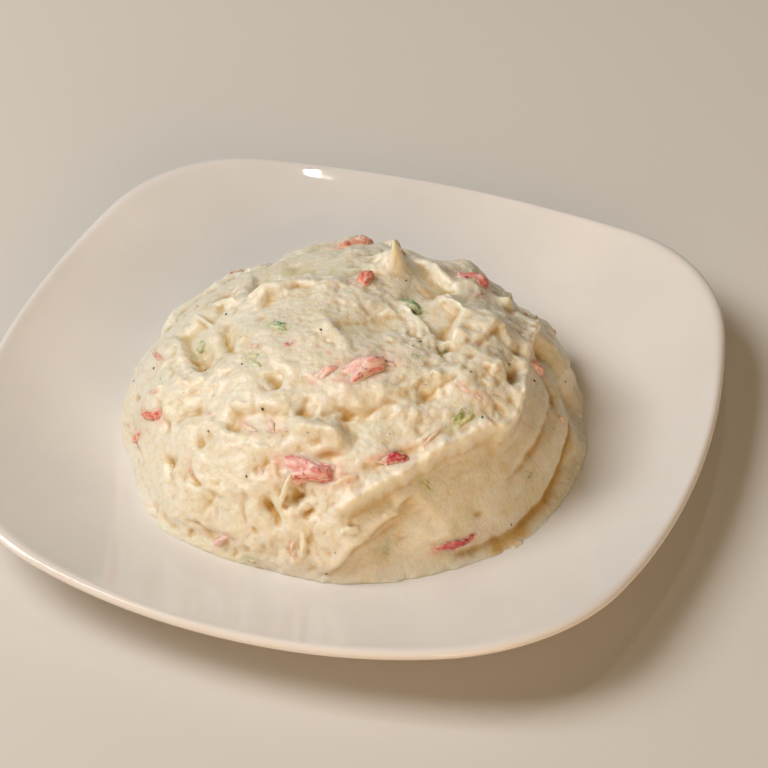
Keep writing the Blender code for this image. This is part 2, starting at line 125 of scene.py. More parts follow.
def place_marks(piece, name, values, kind="FLOAT"):
    """A named value, or vector, on each point of a piece, for its material to read."""
    mark = piece.data.attributes.new(name, kind, "POINT")
    key = "vector" if kind == "FLOAT_VECTOR" else "value"
    mark.data.foreach_set(key, np.asarray(values, dtype=np.float32).ravel())


def rows_of(items, key, width=3, kind=float):
    """A value that every point, edge or face of a mesh has, as the rows of an array."""
    flat = np.empty(len(items) * width, dtype=kind)
    items.foreach_get(key, flat)
    return flat.reshape(-1, width)


def points_of(piece):
    """The points of a piece, in millimetres."""
    return rows_of(piece.data.vertices, "co") / MM


def move_points(piece, points):
    """Give a piece's points new places, in millimetres."""
    piece.data.vertices.foreach_set("co", (points * MM).ravel())
    piece.data.update()


def settle(piece, name, material, body="root"):
    """Name a finished piece, smooth it, dress it and put it on its body."""
    piece.name = name
    piece.data.name = name
    piece.data.materials.clear()
    piece.data.materials.append(material)
    piece.data.shade_smooth()
    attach(piece, body)


def well_top(radius):
    """Height of the plate's upper face in its round middle."""
    climb = np.maximum(radius - WELL_FLAT, 0.0) / (PLATE_SIDE / 2 - WELL_FLAT)
    return WELL_HEIGHT + (RIM_HEIGHT - WELL_HEIGHT) * climb ** COUPE_POWER


def rim_reach(angle):
    """Distance from the middle to the outline: four bowed sides and four corner arcs."""
    half = PLATE_SIDE / 2
    setback = SIDE_ARC - half
    between = SIDE_ARC - CORNER_ARC
    corner = (math.sqrt(2 * between ** 2 - setback ** 2) - setback) / 2
    joint = corner + CORNER_ARC * np.array([corner + setback, corner]) / between
    angle = angle % (math.pi / 2)
    angle = np.minimum(angle, math.pi / 2 - angle)
    side = np.sqrt(SIDE_ARC ** 2 - (setback * np.sin(angle)) ** 2) - setback * np.cos(angle)
    off = math.pi / 4 - angle
    reach = corner * math.sqrt(2)
    turned = np.sqrt(np.maximum(CORNER_ARC ** 2 - (reach * np.sin(off)) ** 2, 0.0))
    return np.where(angle <= math.atan2(joint[1], joint[0]), side, reach * np.cos(off) + turned)


def plate_rings():
    """Radius and height of each ring: out along the top, over the lip, back underneath."""
    half = PLATE_SIDE / 2
    rings = [(radius, well_top(radius)) for radius in TOP_RINGS]
    lip_middle = half - LIP / 2
    lip_height = well_top(lip_middle) - LIP / 2
    for turn in range(105, -76, -20):
        swing = math.radians(turn)
        rings.append((lip_middle + LIP / 2 * math.cos(swing), lip_height + LIP / 2 * math.sin(swing)))
    for radius in UNDER_RINGS:
        thickness = WALL + (LIP - WALL) * (radius - WELL_FLAT) / (half - WELL_FLAT)
        rings.append((radius, well_top(radius) - thickness))
    outer = FOOT_RADIUS + FOOT_WIDTH / 2
    inner = FOOT_RADIUS - FOOT_WIDTH / 2
    rings += [(outer + 0.9, FOOT_RECESS + 0.3), (outer + 0.2, 0.8), (outer - 0.1, 0.3), (outer - 0.6, 0.02)]
    rings += [(inner + 0.6, 0.02), (inner + 0.1, 0.3), (inner - 0.2, 0.8), (inner - 0.9, FOOT_RECESS)]
    rings += [(inner - 6.0, FOOT_RECESS), (20.0, FOOT_RECESS)]
    return rings


def square_off(points):
    """Push the turned plate out to the rounded square, and lift it towards the corners."""
    radius = np.hypot(points[:, 0], points[:, 1])
    half = PLATE_SIDE / 2
    share = (np.maximum(radius - ROUND_WELL, 0.0) / (half - ROUND_WELL)) ** 2
    reach = rim_reach(np.arctan2(points[:, 1], points[:, 0]))
    full_corner = rim_reach(np.array([math.pi / 4]))[0]
    out = points.copy()
    out[:, :2] *= (1.0 + (reach / half - 1.0) * share)[:, None]
    rise = np.maximum((reach - half) / (full_corner - half), 0.0)
    out[:, 2] += CORNER_LIFT * share * rise ** 1.2
    return out


bpy.ops.object.select_all(action="DESELECT")
bpy.ops.mesh.primitive_circle_add(vertices=PLATE_ROUND, radius=CENTRE_RING * MM, fill_type="NGON",
                                  location=(0, 0, WELL_HEIGHT * MM))
plate = bpy.context.active_object
bpy.ops.object.transform_apply()
bpy.ops.object.mode_set(mode="EDIT")
at_radius, at_height = CENTRE_RING, WELL_HEIGHT
for radius, height in plate_rings():
    bpy.ops.mesh.extrude_edges_move(TRANSFORM_OT_translate={"value": (0, 0, (height - at_height) * MM)})
    scale = radius / at_radius
    bpy.ops.transform.resize(value=(scale, scale, 1.0), center_override=(0, 0, 0))
    at_radius, at_height = radius, height
bpy.ops.mesh.edge_face_add()
bpy.ops.mesh.select_all(action="SELECT")
bpy.ops.mesh.normals_make_consistent(inside=False)
bpy.ops.object.mode_set(mode="OBJECT")
plate.modifiers.new("Rounded", "SUBSURF")
bpy.ops.object.modifier_apply(modifier="Rounded")
move_points(plate, square_off(points_of(plate)))

# Glazed porcelain: a warm white body under clear glaze, so a broad soft gloss with a faint
# orange-peel waviness and a slightly deeper tone where the glaze pooled.
glazed, tree, shader = new_material("glazed porcelain", Roughness=0.16, IOR=1.5,
                                    Subsurface_Weight=0.08, Subsurface_Scale=0.002)
spot = add_node(tree, "ShaderNodeTexCoord").outputs["Object"]
pooling = add_node(tree, "ShaderNodeTexNoise", {"Vector": spot},
                   {"Scale": scale_for(35.7), "Detail": 3.0})
tree.links.new(mixed(tree, stretched(tree, pooling.outputs[0], 0.35, 0.65), linear("#E2DFDE"),
                     linear("#E7E4E3")), shader.inputs["Base Color"])
peel = add_node(tree, "ShaderNodeTexNoise", {"Vector": spot},
                {"Scale": scale_for(7.7), "Detail": 1.0})
wave = add_node(tree, "ShaderNodeBump", {"Height": peel.outputs[0]}, {"Strength": 0.06, "Distance": 0.0006})
tree.links.new(wave.outputs[0], shader.inputs["Normal"])
haze = add_node(tree, "ShaderNodeTexNoise", {"Vector": spot},
                {"Scale": scale_for(16.7), "Detail": 4.0})
tree.links.new(stretched(tree, haze.outputs[0], 0.3, 0.7, 0.04, 0.07), shader.inputs["Roughness"])
settle(plate, "coupe_plate", glazed)
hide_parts("plate")


# ------------------------------------------------------------------ heap of potato salad
# Potatoes mashed with mayonnaise and fine scraps, turned out in a dome and worked with a broad
# spatula: smooth shaved facets under soft ragged lips, and between them loose lumps and shreds.

HEAP_MIDDLE = np.array([2.4, -1.3, 0.0])      # it stands a little off the plate's middle
HEAP_RADIUS = 68.5
HEAP_RISE = 44.2
DOME = np.array([HEAP_RADIUS, HEAP_RADIUS, HEAP_RISE])
GAP = 0.3                    # between the solids of the heap and the plate
HEAP_FOOT = well_top(HEAP_RADIUS) + GAP
FOOT_SPREAD = 1.4            # how far the foot runs out on the plate
TOE_HEIGHT = 2.6             # height over which it does
SUNK = 0.9                   # how far the visible heap reaches down into the plate
HIDDEN_RADIUS = 58.0         # radius within which its underside is one flat face
LIP_SLOPE = 5.0              # distance over which a shaved lip falls back to the heap
LUMP_COUNT = 240             # soft lumps all over
LUMP_WIDTHS = (3.0, 6.0)
LUMP_HEIGHT = 0.9
LUMP_SEED = 7
FOLD_COUNT = 210             # short smears all over
FOLD_SEED = 3
CRUMB_SEED = 5
PUFFS = ((9.0, 1.0, 1), (4.6, 0.7, 2), (2.6, 0.42, 3), (1.4, 0.26, 5))      # size, height, seed
HEAP_TRIANGLES = 190000      # the finished mesh is thinned to this
DOME_FINENESS = 8
MASH_GRAIN = 0.52      # edge of the finished mesh's squares, mm

SHAVES = [
    # stops along the lip, its lift, the cut below it, how far to the deepest part, the wall's width
    ([(-78, 25), (-65, 34), (-47, 40), (-34, 41), (-27, 41), (-21, 38), (-14, 38.5), (-6, 41), (3, 43),
      (11, 43.5), (20, 42), (36, 34)], 2.6, 4.0, 10.0, 3.2),
    ([(-79, 3), (-75, 10), (-71, 16), (-67, 20.5), (-62, 25), (-58, 29), (-53, 33)], 1.5, 1.6, 5.0, 1.6),
    ([(-68, 74), (-77, 77), (-89, 80), (-112, 82), (-150, 83)], 0.8, 1.3, 7.0, 3.0),
    ([(111, 76), (131, 74), (149, 69), (172, 64), (178, 58)], 1.2, 2.6, 4.5, 1.6),
    ([(-9, 66), (-3, 69), (4, 71), (14, 74), (27, 76), (43, 77), (57, 78)], 0.9, 1.7, 3.2, 1.4),
    ([(46, 66), (41, 65), (32, 64), (24, 63), (8, 64), (-6, 64)], 1.6, 1.4, 2.6, 1.4),
    ([(-136, 50), (-141, 47), (-148, 45), (-154, 44), (-162, 42), (-170, 38)], 0.7, 1.7, 4.0, 1.6),
    ([(82, 57), (68, 59), (57, 60), (42, 59)], 1.2, 2.6, 4.5, 1.6),
    ([(118, 10), (92, 18), (66, 22)], 1.6, 1.6, 7.0, 1.6),
    ([(172, 12), (150, 20), (132, 27)], 1.4, 2.0, 7.0, 1.6),
]

BASE_GROOVE = ([(-48, 3.2), (-38, 3.2), (-30, 3.2), (-23, 3.3), (-16, 4), (-11, 5.5), (-5, 7.5), (0, 10),
                (8, 12), (14, 15), (20, 20)], 1.7, 1.6)

FURROWS = [
    # stops, depth, half width; the groups are those of the solid, then finer creases and ridges
    ([(24, 36), (17, 30), (12, 26), (4, 25), (-4, 24.5), (-12, 23.5), (-20, 22), (-27, 20)], 1.0, 2.2),
    ([(-173, 55), (-157, 57), (-143, 56)], 2.0, 2.4),
    ([(-98, 29), (-94, 24), (-90, 17)], 2.8, 2.2),
    ([(-90, 47), (-79, 46)], 1.6, 2.0),
    ([(-79, 55), (-68, 48)], 2.0, 2.2),
    ([(-7, 49), (4, 42)], 2.0, 2.2),
    ([(15, 48), (5, 43)], 1.6, 2.0),
    ([(26, 38), (30, 26)], 3.2, 3.0),
    ([(-140, 28), (-134, 36), (-128, 44)], 1.6, 2.6),
    ([(60, 42), (48, 36), (40, 40)], 2.0, 2.6),
    ([(150, 44), (128, 48), (110, 52)], 2.2, 3.0),
    ([(100, 6), (80, 8), (60, 5)], 1.8, 2.4),
    ([(-100, 52), (-86, 51), (-71, 49)], -2.4, 3.0),
    ([(-91, 40), (-91, 28)], -1.8, 1.8),
    ([(-12, 53), (2, 50)], -1.6, 2.6),
    ([(-54, 12), (-50, 13), (-46, 13), (-42, 13), (-38, 11)], -0.8, 1.8),
    ([(-88, 64), (-68, 63), (-46, 63)], -1.4, 4.0),
]

DIMPLES = [
    # place, depth, half width
    ((-9, 65), 3.6, 2.4), ((-93, 56), 2.4, 3.4), ((-76, 58), 2.2, 3.0), ((-150, 49), 2.0, 5.0),
    ((-128, 21), 2.0, 2.6), ((-100, 37), 2.2, 2.6), ((-88, 31), 3.6, 3.8), ((-83, 26), 2.4, 3.0),
    ((160, 61), 2.6, 4.0), ((170, 51), 2.2, 3.6), ((137, 34), 5.0, 8.0), ((155, 34), 2.6, 9.0),
    ((172, 22), 3.2, 8.0), ((86, 36), 6.4, 8.0), ((71, 30), 5.0, 7.0), ((52, 27), 3.4, 6.5),
    ((21, 9), 3.6, 9.0), ((102, 13), 4.4, 12.0), ((80, 13), 5.0, 12.0), ((54, 11), 2.6, 10.0),
    ((126, 12), 2.2, 10.0), ((-150, 8), 1.6, 8.0), ((-4, 46), 2.2, 2.4), ((9, 46.5), 1.6, 1.8),
    ((-113, 60), 2.2, 2.8),
    ((109, 42), -2.8, 4.6), ((95, 43), -4.0, 3.2), ((66, 44), -2.4, 5.0), ((20, 56), -2.2, 6.0),
    ((-4, 56), -1.8, 5.0), ((-19, 56), -2.0, 5.0), ((-158, 12), -1.6, 9.0), ((-118, 8), -2.2, 10.0),
    ((-150, 30), -1.6, 8.0), ((43, 24), -1.4, 7.0), ((-12, 50), -3.4, 13.0), ((14, 52), -1.6, 10.0),
    ((20, 79), 2.0, 13.0), ((-10, 83), 1.6, 8.0), ((6, 66), 1.2, 2.8), ((12, 55), -1.6, 7.0),
    ((41, 65), -1.0, 2.0), ((66, 58), -1.0, 3.0), ((48, 55), -2.0, 3.6), ((32, 42), -1.2, 4.0),
    ((-6, 51), -1.2, 3.0), ((-36, 57), 1.4, 3.0), ((-28, 61), -1.4, 2.2), ((15, 42), 1.4, 2.0),
    ((82, 65), -2.2, 3.4), ((-156, 48), 1.0, 4.0), ((-148, 53), 1.0, 3.0), ((-37, 15.5), 1.0, 1.8),
    ((-73, 21), -0.8, 1.6), ((-72, 23), 0.9, 1.6), ((153, 62), 1.8, 2.2), ((172, 54), 1.4, 2.0),
    ((-55, 46), 1.4, 6.0), ((-18, 52), -1.0, 4.5),
]

TOES = [
    # bearing, how much further the foot runs out on the plate there, half width in degrees
    (-31, 2.8, 13.0), (-57, 0.8, 10.0), (-92, -2.0, 10.0), (-122, 1.8, 11.0),
    (-146, -1.8, 9.0), (82, -3.6, 30.0), (130, -1.0, 18.0),
]

CREASES = [
    # fine creases, and ridges where the depth is negative: stops, depth, half width
    ([(-98, 28), (-94, 24), (-92, 21), (-90, 17)], 1.6, 1.1),
    ([(-159, 20), (-155, 22), (-152, 25)], 1.4, 1.3),
    ([(-97, 53), (-93, 56), (-90, 58)], 1.4, 1.1),
    ([(-126, 36), (-121, 33), (-118, 31)], 0.8, 1.2),
    ([(178, 59), (172, 64), (166, 71), (148, 77), (111, 78)], -1.0, 2.0),
    ([(-93, 55), (-84, 57), (-76, 58)], 1.2, 1.3),
    ([(-78, 53), (-73, 57), (-69, 59)], 1.5, 1.2),
    ([(-54, 11), (-53, 18), (-51, 23), (-49, 29)], -0.35, 1.2),
    ([(31, 64), (25, 59)], 1.8, 0.8),
    ([(15, 26), (7, 22)], 1.6, 0.8),
    ([(-140, 60), (-150, 57), (-165, 55)], 1.2, 1.4),
    ([(2, 70), (13, 66), (20, 60)], 1.4, 2.4),
    ([(-89, 40), (-90, 35), (-90, 30), (-90, 26)], -1.8, 1.0),
    ([(-96, 48), (-91, 50), (-84, 51), (-76, 50), (-71, 49)], -1.3, 1.8),
    ([(-84, 18), (-84, 13), (-84, 9)], -1.2, 0.8),
    ([(42, 66), (32, 65), (26, 62)], -1.6, 1.0),
    ([(5, 44), (-6, 47)], 1.2, 1.0),
    ([(150, 20), (120, 30), (96, 33)], 1.2, 1.4),
    ([(118, 50), (100, 46), (84, 50)], 1.2, 1.3),
]

FOLDS = [
    # soft overlaps of mash, the upper mass to the left: stops, lift, cut, reach
    ([(-125, 48), (-115, 51), (-105, 54), (-94, 55), (-82, 57), (-69, 59), (-54, 61), (-40, 61), (-24, 62)],
     1.3, 1.1, 3.4),
    ([(-96, 29), (-102, 26), (-110, 24), (-116, 21), (-124, 17)], 0.8, 1.1, 2.4),
    ([(-97, 44), (-91, 46), (-85, 45), (-78, 46), (-70, 45)], 1.0, 1.2, 2.2),
    ([(-108, 44), (-116, 41), (-126, 40), (-134, 37)], 0.7, 0.9, 2.4),
    ([(-146, 34), (-138, 31), (-130, 30)], 0.7, 0.9, 2.2),
    ([(-74, 40), (-66, 43), (-56, 46), (-46, 47)], 0.8, 0.9, 2.4),
    ([(-150, 12), (-140, 14), (-132, 10)], 0.8, 0.9, 2.2),
    ([(-118, 9), (-108, 11), (-100, 12)], 0.7, 0.8, 2.0),
    ([(-54, 51), (-46, 53), (-36, 52)], 0.7, 0.8, 2.2),
    ([(-124, 26), (-120, 24), (-115, 24), (-109, 24), (-105, 21)], 0.9, 0.9, 3.2),
    ([(-127, 39), (-125, 38), (-118, 37), (-116, 32)], 0.7, 0.8, 3.0),
    ([(-110, 19), (-108, 21), (-104, 27), (-97, 28)], 0.7, 0.8, 3.0),
    ([(178, 48), (178, 55), (-178, 61), (176, 65), (168, 68), (161, 70), (151, 74), (137, 77)],
     1.0, 1.3, 2.6),
    ([(-166, 55), (-156, 57), (-148, 55)], 0.9, 1.0, 1.8),
    ([(-154, 52), (-149, 49), (-143, 48)], 0.8, 1.0, 1.6),
    ([(-131, 62), (-123, 65), (-119, 61)], 0.5, 0.7, 1.6),
    ([(-9, 63), (-7, 63), (1, 62), (7, 59), (13, 56), (19, 52)], 1.0, 1.2, 2.2),
    ([(-22, 62), (-16, 64), (-10, 61)], 0.8, 1.0, 2.0),
    ([(3, 53), (-3, 50), (-6, 48), (-3, 45), (4, 43)], 0.9, 0.9, 1.8),
    ([(21, 43), (15, 42), (6, 42), (0, 43), (-6, 44.5), (-11, 46.5)], 1.0, 0.7, 2.2),
    ([(68, 67), (59, 67), (50, 66), (43, 64)], 0.9, 1.6, 2.4),
    ([(120, 36), (140, 40), (158, 38)], 1.0, 1.2, 3.0),
    ([(70, 46), (88, 50), (104, 48)], 1.0, 1.2, 3.0),
    ([(30, 14), (46, 18), (60, 17)], 0.9, 1.1, 2.6),
]

PAINTED_SHADE_GROOVES = [
    # grooves and hollows painted ochre as shade: stops, strength, half width
    ([(-40, 1.5), (-30, 2.5), (-23, 3.3), (-16, 4), (-11, 5.5), (-5, 7.5), (0, 10), (8, 12), (14, 16)],
     1.0, 1.3),
    ([(27, 37), (23, 34), (17, 30)], 0.8, 1.8), ([(17, 30), (12, 26), (5, 25)], 0.9, 1.3),
    ([(1, 25), (-4, 24.5), (-10, 23.5), (-18, 22.5)], 0.8, 1.3), ([(-24, 21), (-31, 19)], 0.4, 1.2),
    ([(-34, 17), (-37, 15.5), (-39, 14)], 0.8, 1.3), ([(-8, 46), (-4, 46), (0, 47)], 0.6, 1.6),
    ([(14, 47), (10, 46), (5, 46)], 0.7, 1.2), ([(30, 64), (27, 63), (22, 62)], 1.0, 0.8),
    ([(68, 67), (59, 67), (50, 66), (43, 64)], 0.7, 1.8), ([(157, 61), (150, 63)], 0.8, 1.8),
    ([(174, 52), (170, 55)], 0.8, 1.4), ([(-89, 32), (-85, 31)], 0.9, 1.2),
    ([(-98, 29), (-94, 24), (-90, 17)], 0.6, 1.2), ([(-150, 50), (-144, 50)], 0.8, 1.4),
    ([(-160, 44), (-152, 45.5), (-144, 47)], 0.6, 1.0), ([(-127, 22), (-126, 20)], 0.8, 1.0),
    ([(-100, 37), (-98, 37)], 0.8, 1.0), ([(-113, 61), (-111, 61)], 0.8, 1.0),
    ([(-155, 20), (-155, 25)], 0.7, 1.0), ([(-114, 4), (-114, 2)], 0.7, 0.9),
    ([(-97, 17), (-97, 15)], 0.7, 0.9), ([(-97, 53), (-93, 56), (-88, 58)], 0.6, 1.1),
    ([(-60, 4), (-57, 3)], 0.8, 0.9), ([(-8, 64), (-2, 61), (4, 59)], 0.6, 1.4),
    ([(-20, 62), (-14, 61)], 0.6, 1.2), ([(-75, 24), (-71, 21)], 0.5, 1.0),
    ([(-86, 24), (-84, 19)], 0.6, 0.9),
]

MASH_SHREDS = [
    # torn shreds of mash on the surface: one end, other end, width, thickness
    ((-88.5, 39), (-90, 33), 1.4, 1.4), ((-90, 35), (-91.5, 26.5), 2.0, 2.2),
    ((-86, 28), (-84, 27), 2.2, 2.2),
    ((-84, 18), (-84, 9), 1.7, 1.8), ((-63, 26), (-59, 25), 1.7, 1.5), ((-74, 21), (-70, 21), 2.0, 1.4),
    ((43, 66), (33, 65), 1.6, 2.0), ((33, 64.5), (24, 62.5), 1.4, 1.8), ((-28, 62), (-28, 59), 1.8, 2.0),
    ((-8, 42), (0, 43), 1.6, 1.6), ((9, 43), (2, 43), 1.4, 1.6), ((-9, 66), (0, 69), 1.4, 1.6),
    ((4, 71), (20, 75), 1.5, 1.5), ((28, 76), (50, 77), 1.3, 1.5), ((-76, 36), (-71, 38), 1.6, 1.2),
    ((-94, 34), (-97, 38), 1.4, 1.4), ((-169, 51), (-177, 45), 1.4, 1.4), ((-79, 12), (-76, 8), 1.4, 1.2),
    ((-48, 46), (-39, 47), 1.4, 1.2), ((150, 64), (135, 66), 1.6, 1.4), ((100, 30), (90, 33), 1.6, 1.6),
]

PEAKS = [
    # pulled-up tips: place, height, width, lean
    ((79, 67), 6.8, 2.0, (-0.2, 0.1, 1.0)), ((88, 66), 3.6, 4.4, (0.0, 0.0, 1.0)),
    ((40, 46), 3.4, 2.2, (0.3, 0.1, 0.6)),
]

PITS = [
    # small deep holes: place, depth, half width
    ((-127, 20), 1.7, 1.1), ((-99, 37), 2.2, 1.2), ((-87, 31), 3.2, 1.8), ((-83, 32), 1.6, 1.2),
    ((-95, 25), 1.8, 1.2), ((-90, 26), 1.8, 1.1), ((-84, 26), 2.2, 1.3), ((-114, 3), 1.8, 1.2),
    ((-98, 7), 1.6, 1.0), ((-101, 3), 1.2, 1.2), ((-97, 16), 1.3, 0.9), ((-121, 13), 0.9, 1.0),
    ((-109, 17), 0.9, 1.6), ((-109, 25), 1.2, 1.0), ((-87, 10), 1.6, 1.3), ((-98, 48), 1.0, 1.3),
    ((-7, 64), 2.6, 1.2), ((-148, 47), 1.4, 1.4), ((-112, 61), 1.6, 1.1), ((140, 60), 1.4, 1.6),
    ((170, 30), 1.3, 1.4), ((118, 26), 1.6, 1.5), ((75, 22), 1.4, 1.2), ((100, 40), 1.6, 1.6),
]

ROUGH_PLACES = [
    # where the mash is torn and crumbly rather than smeared: place, how much, half width
    ((-149, 50), 0.6, 9.0), ((-88, 21), 0.14, 9.0), ((-84, 10), 0.12, 8.0), ((10, 76), 0.8, 9.0),
    ((-9, 68), 0.6, 7.0), ((33, 52), 0.45, 9.0), ((-23, 57), 0.5, 9.0), ((-25, 45), 0.4, 9.0),
    ((-48, 55), 0.4, 8.0), ((-5, 52), 0.45, 8.0), ((-99, 5), 0.15, 9.0), ((171, 55), 0.4, 9.0),
    ((81, 70), 0.7, 10.0), ((95, 40), 0.6, 14.0), ((150, 40), 0.5, 12.0), ((60, 22), 0.6, 14.0),
    ((120, 14), 0.5, 14.0), ((20, 34), 0.4, 9.0),
]


def on_dome(bearing, rise):
    """A point of the smooth dome, measured from the middle of its foot."""
    turn, lift = math.radians(bearing), math.radians(rise)
    out = math.cos(lift)
    return DOME * np.array([out * math.cos(turn), out * math.sin(turn), math.sin(lift)])


def dome_normals(points):
    slopes = points / DOME ** 2
    return slopes / np.linalg.norm(slopes, axis=-1, keepdims=True)


def smooth_path(stops, steps=8):
    """A curve on the dome through a few stops, as a chain of points."""
    knots = [on_dome(*stop) for stop in stops]
    knots = [2 * knots[0] - knots[1]] + knots + [2 * knots[-1] - knots[-2]]
    chain = []
    for before, start, end, after in zip(knots, knots[1:], knots[2:], knots[3:]):
        for part in np.linspace(0.0, 1.0, steps, endpoint=False):
            bend = (2 * start + (end - before) * part
                    + (2 * before - 5 * start + 4 * end - after) * part ** 2
                    + (3 * start - before - 3 * end + after) * part ** 3)
            chain.append(bend / 2)
    chain.append(knots[-2])
    chain = np.array(chain)
    return chain / np.sqrt(((chain / DOME) ** 2).sum(axis=1))[:, None]


def measure_from(path, points, taper=6.0):
    """How far each point lies left of the path, how far along it, a fade to its ends, the way left."""
    starts, runs = path[:-1], np.diff(path, axis=0)
    lengths = np.linalg.norm(runs, axis=1)
    done = np.concatenate([[0.0], np.cumsum(lengths)])
    best = np.full(len(points), np.inf)
    nearest = np.zeros(len(points), dtype=int)
    share = np.zeros(len(points))
    away = np.zeros((len(points), 3))
    for step, (start, run, length) in enumerate(zip(starts, runs, lengths)):
        to_points = points - start
        along = np.clip(to_points @ run / length ** 2, 0.0, 1.0)
        miss = to_points - along[:, None] * run
        gap = (miss ** 2).sum(axis=1)
        closer = gap < best
        best[closer], nearest[closer], share[closer] = gap[closer], step, along[closer]
        away[closer] = miss[closer]
    left = np.cross(dome_normals(points), runs[nearest])
    left /= np.linalg.norm(left, axis=1, keepdims=True)
    distance = np.sqrt(best)
    signed = np.where((left * away).sum(axis=1) >= 0.0, distance, -distance)
    travelled = done[nearest] + share * lengths[nearest]
    fade = ease(travelled / taper) * ease((done[-1] - travelled) / taper)
    return signed, travelled, fade, left


def near_path(path, points, margin):
    """Which points lie within a margin of the box round a path."""
    low, high = path.min(axis=0) - margin, path.max(axis=0) + margin
    return np.flatnonzero(((points > low) & (points < high)).all(axis=1))


def waver(travelled, length, first, second):
    """Noise along a path, which changes over a length in millimetres; two numbers choose it."""
    marks = np.arange(0.0, travelled.max() + 4.0, 1.0)
    values = [noise.noise(Vector((mark / length, first, second))) for mark in marks]
    return np.interp(travelled, marks, values)


def add_furrow(height, points, stops, depth, width, wander):
    """A groove along a path; a negative depth makes a ridge.  Wander makes it uneven."""
    path = smooth_path(stops)
    near = near_path(path, points, 3.2 * width)
    offset, travelled, fade, _ = measure_from(path, points[near])
    bearing, rise = stops[0]
    offset = offset + wander * 2.0 * waver(travelled, 3.5, rise, bearing)
    uneven = 1.0 + wander * 0.9 * waver(travelled, 5.0, bearing, rise)
    height[near] -= depth * uneven * fade * np.exp(-(offset / width) ** 2)


def add_dimple(height, points, place, depth, width, spared=None):
    """A round hollow; a negative depth makes a lump.  Spared says how little of it is made."""
    middle = on_dome(*place)
    near = near_path(middle[None, :], points, 3.2 * width)
    offset = np.linalg.norm((points + warp)[near] - middle, axis=1)
    kept = 1.0 if spared is None else 1.0 - spared[near]
    height[near] -= depth * kept * np.exp(-(offset / width) ** 2)


def drawn_path(place, heading, length, bend, steps=7):
    """A short curve on the dome from a place; heading is anticlockwise from the way round it."""
    chain = [on_dome(*place)]
    for _ in range(steps):
        up = dome_normals(chain[-1])
        across = np.cross([0.0, 0.0, 1.0], up)
        across /= np.linalg.norm(across)
        way = math.cos(heading) * across + math.sin(heading) * np.cross(up, across)
        step = chain[-1] + way * length / steps
        chain.append(step / math.sqrt(((step / DOME) ** 2).sum()))
        heading += bend / steps
    return np.array(chain)


def add_fold(height, curl, points, path, lift, cut, reach, spared, soft, sway=0.0):
    """A smear of mash: a lip along the left of a path and a soft hollow to its right."""
    near = near_path(path, points, 3.0 * reach)
    offset, travelled, fade, left = measure_from(path, points[near], 2.5 + 3.0 * sway)
    if sway:
        offset = offset + sway * 2.4 * waver(travelled, 5.0, *path[0][:2])
        fade = fade * np.clip(0.8 + 1.3 * waver(travelled, 7.0, *path[-1][:2]), 0.15, 1.4)
    depth = np.maximum(-offset, 0.0) / reach
    edge = ease((offset + soft) / (1.5 * soft))
    lip = lift * np.exp(-np.maximum(offset - 0.5 * soft, 0.0) / reach)
    kept = fade * (1.0 - spared[near])
    height[near] += kept * (lip * edge - cut * depth * np.exp(1.0 - depth) * (1.0 - edge))
    curl[near] -= left * (kept * lift * 0.5 * np.exp(-((offset - 0.4) / 0.9) ** 2))[:, None]


def noise_on(points, size, shift):
    """Noise at each point, with lumps of a size in millimetres; shift moves it elsewhere."""
    return np.array([noise.noise(Vector(place) / size + Vector(shift)) for place in points])


def drift(points, size, seed):
    """Gentle noise of about -1 to 1."""
    return 1.6 * noise_on(points, size, (seed * 7.3, seed * 3.1, seed * 5.7))


def billows(points, size, seed):
    """0 to about 1: puffy lumps of a size in millimetres, with thin creases between them."""
    return 2.0 * np.abs(noise_on(points, size, (seed * 7.3, seed * 3.1, seed * 5.7)))


bpy.ops.object.select_all(action="DESELECT")
bpy.ops.mesh.primitive_ico_sphere_add(subdivisions=DOME_FINENESS, radius=1.0)
heap = bpy.context.active_object
bpy.ops.object.mode_set(mode="EDIT")
bpy.ops.mesh.select_all(action="SELECT")
bpy.ops.mesh.bisect(plane_co=(0, 0, 0), plane_no=(0, 0, 1), clear_inner=True)
bpy.ops.object.mode_set(mode="OBJECT")
unit = points_of(heap) * MM
rest = unit * DOME
foot = unit[:, 2] < 1e-4
rest /= np.sqrt(((rest / DOME) ** 2).sum(axis=1))[:, None]

